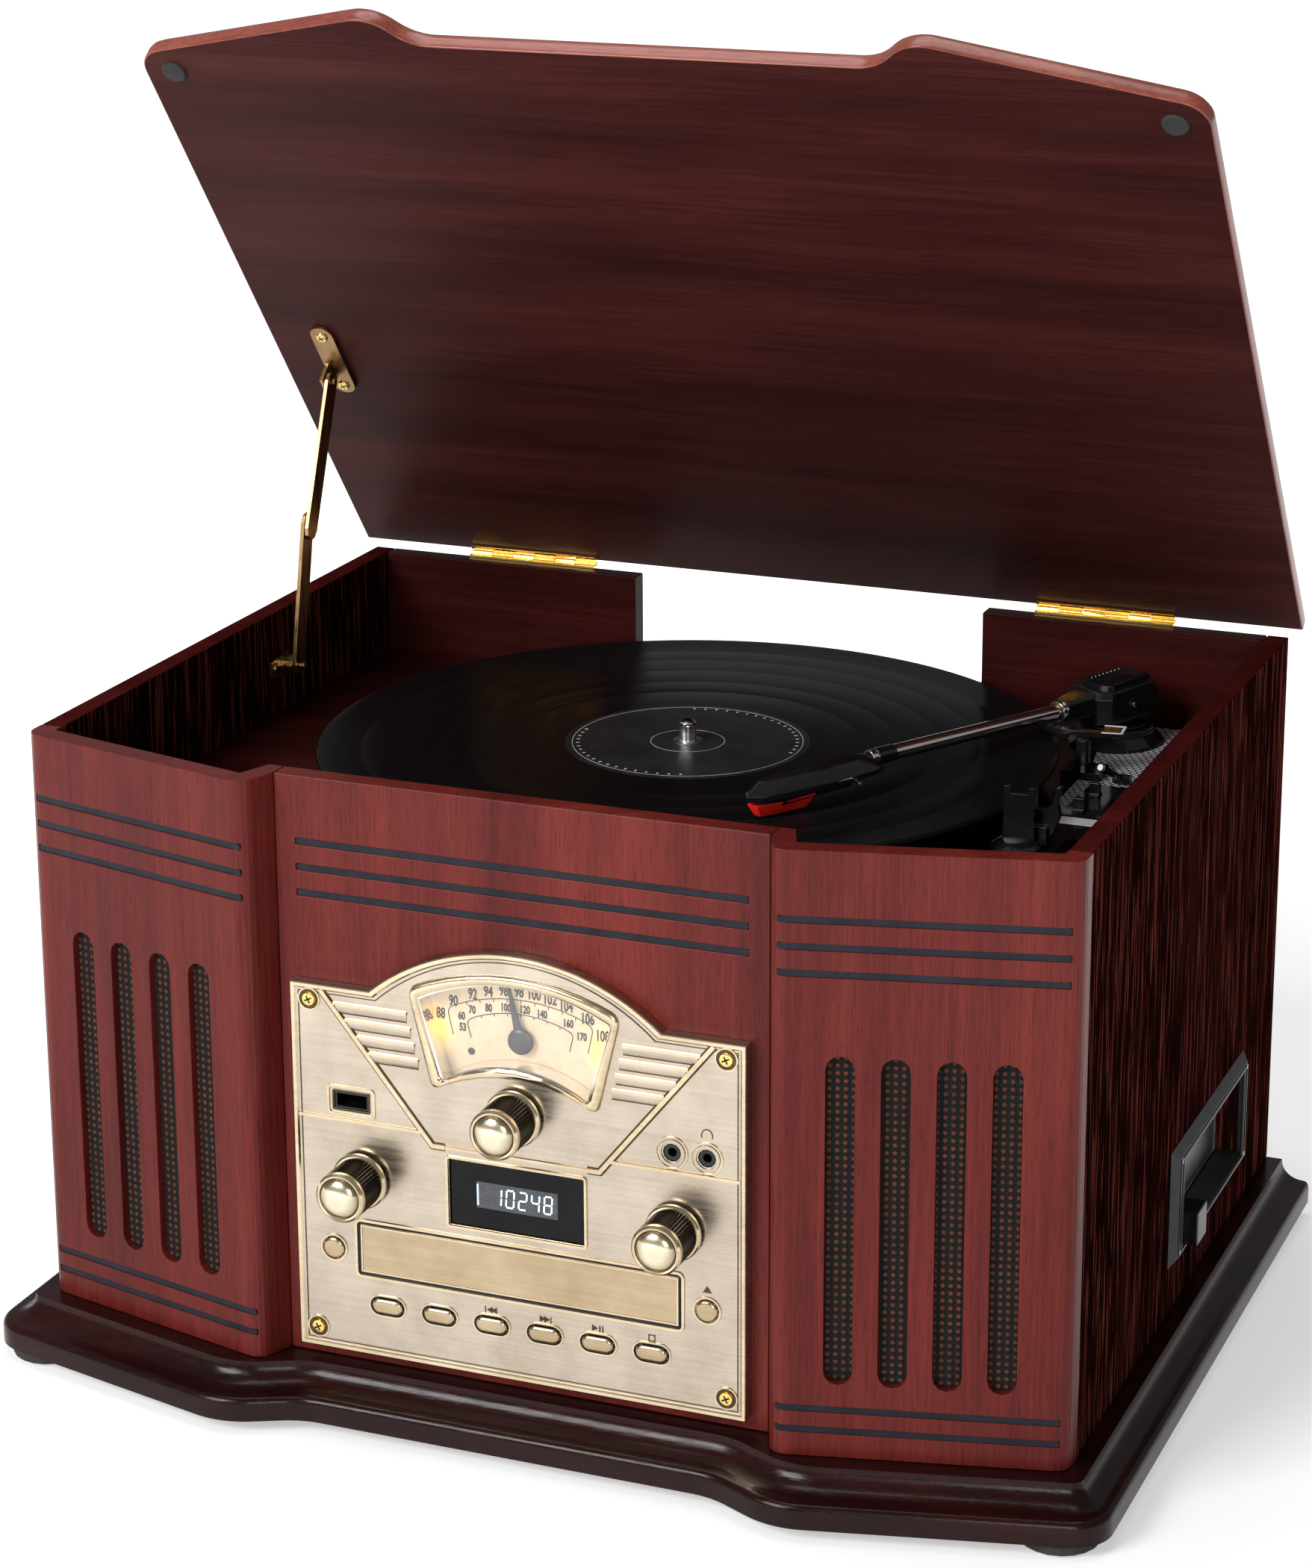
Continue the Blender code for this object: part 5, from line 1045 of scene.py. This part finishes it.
def make_buttons():
    for i, x in enumerate(BUTTONS):
        rings = []
        for inset, y in ((0.0, -0.3132), (0.0, PLATE_FACE - 0.0008), (0.0004, PLATE_FACE - 0.0013),
                         (0.0010, PLATE_FACE - 0.00155), (0.0018, PLATE_FACE - 0.0016)):
            outline = pill(x, BUTTON_Z, BUTTON_HALF, BUTTON_RADIUS - inset, 10)
            rings.append([(px, y, pz) for px, pz in outline])
        name = f"button_{i + 1}"
        piece(f"{name}_cap", [(closed_mesh(rings), WARM_BRASS)], name, (name,))
    for name, side, body in (("eject_button", 1, "eject_button"), ("remote_window", -1, "cabinet")):
        profile = [(ROUND_RADIUS, 0.3132), (ROUND_RADIUS, 0.3268), (ROUND_RADIUS - 0.0004, 0.3273),
                   (ROUND_RADIUS - 0.0012, 0.3276), (ROUND_RADIUS - 0.0030, 0.3276)]
        piece(f"{name}_cap", [(facing_front(turned(profile, 40), side * ROUND_X, ROUND_Z), WARM_BRASS)], body,
              (name,))


SEGMENTS = {"0": "abcdef", "1": "bc", "2": "abged", "4": "fgbc", "8": "abcdefg"}


def make_display_and_drawer():
    repaint(GLAZED, "display_window", bevel=0.0003)
    repaint(STEEL, "volume_shaft", "disc_drive_housing", "cassette_mechanism")
    repaint(GLOSS_BLACK, "front_board")
    repaint(BLACK, "left_speaker", "right_speaker")
    face = -0.3252
    shapes = [(front_prism(rectangle(0.0, 0.1040, 0.0167, 0.0053), face - 0.0001, face + 0.0003), SCREEN)]
    width, height, lean = 0.0031, 0.0070, 0.0004

    def dash(a, b):
        shapes.append((ribbon([a, b], strip(0.00028, face, face - 0.0002)), LIT))

    for k, digit in enumerate("10248"):
        x0, z0 = -0.0098 + k * 0.0052, 0.1005
        corner = {"tl": (x0 + lean, z0 + height), "tr": (x0 + width + lean, z0 + height),
                  "ml": (x0 + lean / 2, z0 + height / 2), "mr": (x0 + width + lean / 2, z0 + height / 2),
                  "bl": (x0, z0), "br": (x0 + width, z0)}
        ends = {"a": ("tl", "tr"), "b": ("tr", "mr"), "c": ("mr", "br"), "d": ("bl", "br"), "e": ("ml", "bl"),
                "f": ("tl", "ml"), "g": ("ml", "mr")}
        for segment in SEGMENTS[digit]:
            start, end = (Vector(corner[c]) for c in ends[segment])
            dash(start.lerp(end, 0.10), start.lerp(end, 0.90))
    dash((-0.0162, 0.0997), (-0.0162, 0.1083))
    piece("display_digits", shapes)

    repaint(WARM_BRASS, "disc_drawer", bevel=0.0004)
    middle, half = (DRAWER_LOW + DRAWER_HIGH) / 2, (DRAWER_HIGH - DRAWER_LOW) / 2
    border = rectangle(0.0, middle, DRAWER_HALF - 0.0006, half - 0.0006)
    edge = ribbon(border, raised(0.0009, 0.0003), closed=True)
    piece("drawer_edge", [(edge, EDGE_BRASS)], "disc_drawer")


# --- cassette player -------------------------------------------------------------------------------------
def make_cassette():
    repaint(TEXTURED, "cassette_bezel", bevel=0.0004)
    repaint(BLACK, "cassette_key", bevel=0.0006)
    (y0, y1), (z0, z1), face = CASSETTE_Y, CASSETTE_Z, BODY_HALF + 0.0033

    def side_frame(inset_y, inset_z, height, half=0.0004):
        corners = rectangle((y0 + y1) / 2, (z0 + z1) / 2, (y1 - y0) / 2 - inset_y, (z1 - z0) / 2 - inset_z)
        profile = [(-half, 0.0004), (-half, -height * 0.5), (-half / 2, -height), (half / 2, -height),
                   (half, -height * 0.5), (half, 0.0004)]
        return ribbon(corners, profile, closed=True, place=lambda a, b, c: (face - b, a, c)), BLACK

    shapes = [side_frame(0.0048, 0.0046, 0.0005), side_frame(0.0086, 0.0052, 0.0006)]
    for y in (y0 + 0.0066, y1 - 0.0052):
        for z in (z0 + 0.0052, z1 - 0.0052):
            shapes += screw_shapes(0.0012, 0.0006, STEEL, lambda bm: moved(bm, (face, y, z), math.pi / 2, "Y"))
    piece("bezel_trim", shapes)


make_cabinet()
make_lid()
make_hinges_and_stay()
make_record()
make_tonearm()
make_chassis()
make_faceplate()
make_dial()
make_knobs()
make_buttons()
make_display_and_drawer()
make_cassette()


# --- studio ----------------------------------------------------------------------------------------------
def make_studio():
    floor = bpy.data.meshes.new("floor")
    floor.from_pydata([(-6, -6, 0), (6, -6, 0), (6, 6, 0), (-6, 6, 0)], [], [(0, 1, 2, 3)])
    ground = bpy.data.objects.new("floor", floor)
    bpy.context.scene.collection.objects.link(ground)
    paint = Surface("studio_floor", Roughness=0.6, Emission_Color=(1.0, 1.0, 1.0))
    paint.set(Base_Color=paint.ramp(paint.noise(paint.coords((3.0,) * 3)), (0.3, 0.62), (0.7, 0.66)))
    far = paint.maths("SUBTRACT", paint.distance(paint.coords(), (0.0, 0.0, 0.0)), 0.45)
    far = paint.maths("MINIMUM", paint.maths("MAXIMUM", far, 0.0), 0.56)
    paint.set(Emission_Strength=paint.maths("ADD", 0.44, far))
    floor.materials.append(paint.material)
    world = bpy.data.worlds.new("studio")
    bpy.context.scene.world = world
    world.use_nodes = True
    tree = world.node_tree
    soft = tree.nodes["Background"]
    soft.inputs["Color"].default_value, soft.inputs["Strength"].default_value = (1.0, 1.0, 1.0, 1.0), 0.24
    paper = tree.nodes.new("ShaderNodeBackground")
    paper.inputs["Strength"].default_value = 1.0
    seen, both = tree.nodes.new("ShaderNodeLightPath"), tree.nodes.new("ShaderNodeMixShader")
    sources = (seen.outputs["Is Camera Ray"], soft.outputs[0], paper.outputs[0])
    for source, target in zip(sources, both.inputs):
        tree.links.new(source, target)
    tree.links.new(both.outputs[0], tree.nodes["World Output"].inputs[0])
    paper.inputs["Color"].default_value = (1.0, 1.0, 1.0, 1.0)
    for name, at, size, power in (("key", (-1.2, -2.4, 1.8), 1.3, 92.0), ("top", (-0.3, 0.3, 2.5), 1.4, 26.0),
                                  ("fill", (1.2, -2.7, 0.9), 0.9, 22.0)):
        light = bpy.data.lights.new(name, "AREA")
        light.shape, light.size, light.energy = "SQUARE", size, power
        lamp = bpy.data.objects.new(name, light)
        bpy.context.scene.collection.objects.link(lamp)
        lamp.location = at
        lamp.rotation_mode = "QUATERNION"
        lamp.rotation_quaternion = (Vector((0.0, 0.0, 0.15)) - Vector(at)).to_track_quat("-Z", "Y")


def make_camera():
    camera = bpy.data.cameras.new("camera")
    camera.sensor_fit, camera.sensor_width, camera.lens = "HORIZONTAL", 36.0, 106.2
    camera.shift_x, camera.shift_y, camera.clip_start = -0.03085, -0.09509, 0.1
    seat = bpy.data.objects.new("camera", camera)
    bpy.context.scene.collection.objects.link(seat)
    turn, tilt, roll = 0.376, -0.282, -0.002
    ahead = Vector((-math.sin(turn) * math.cos(tilt), math.cos(turn) * math.cos(tilt), math.sin(tilt)))
    seat.location = (0.556845, -1.55059 + SHIFT, 0.70572)
    seat.rotation_mode = "QUATERNION"
    seat.rotation_quaternion = ahead.to_track_quat("-Z", "Y") @ Matrix.Rotation(roll, 3, "Z").to_quaternion()
    bpy.context.scene.camera = seat


make_studio()
make_camera()
bpy.context.scene.view_settings.view_transform = "Standard"
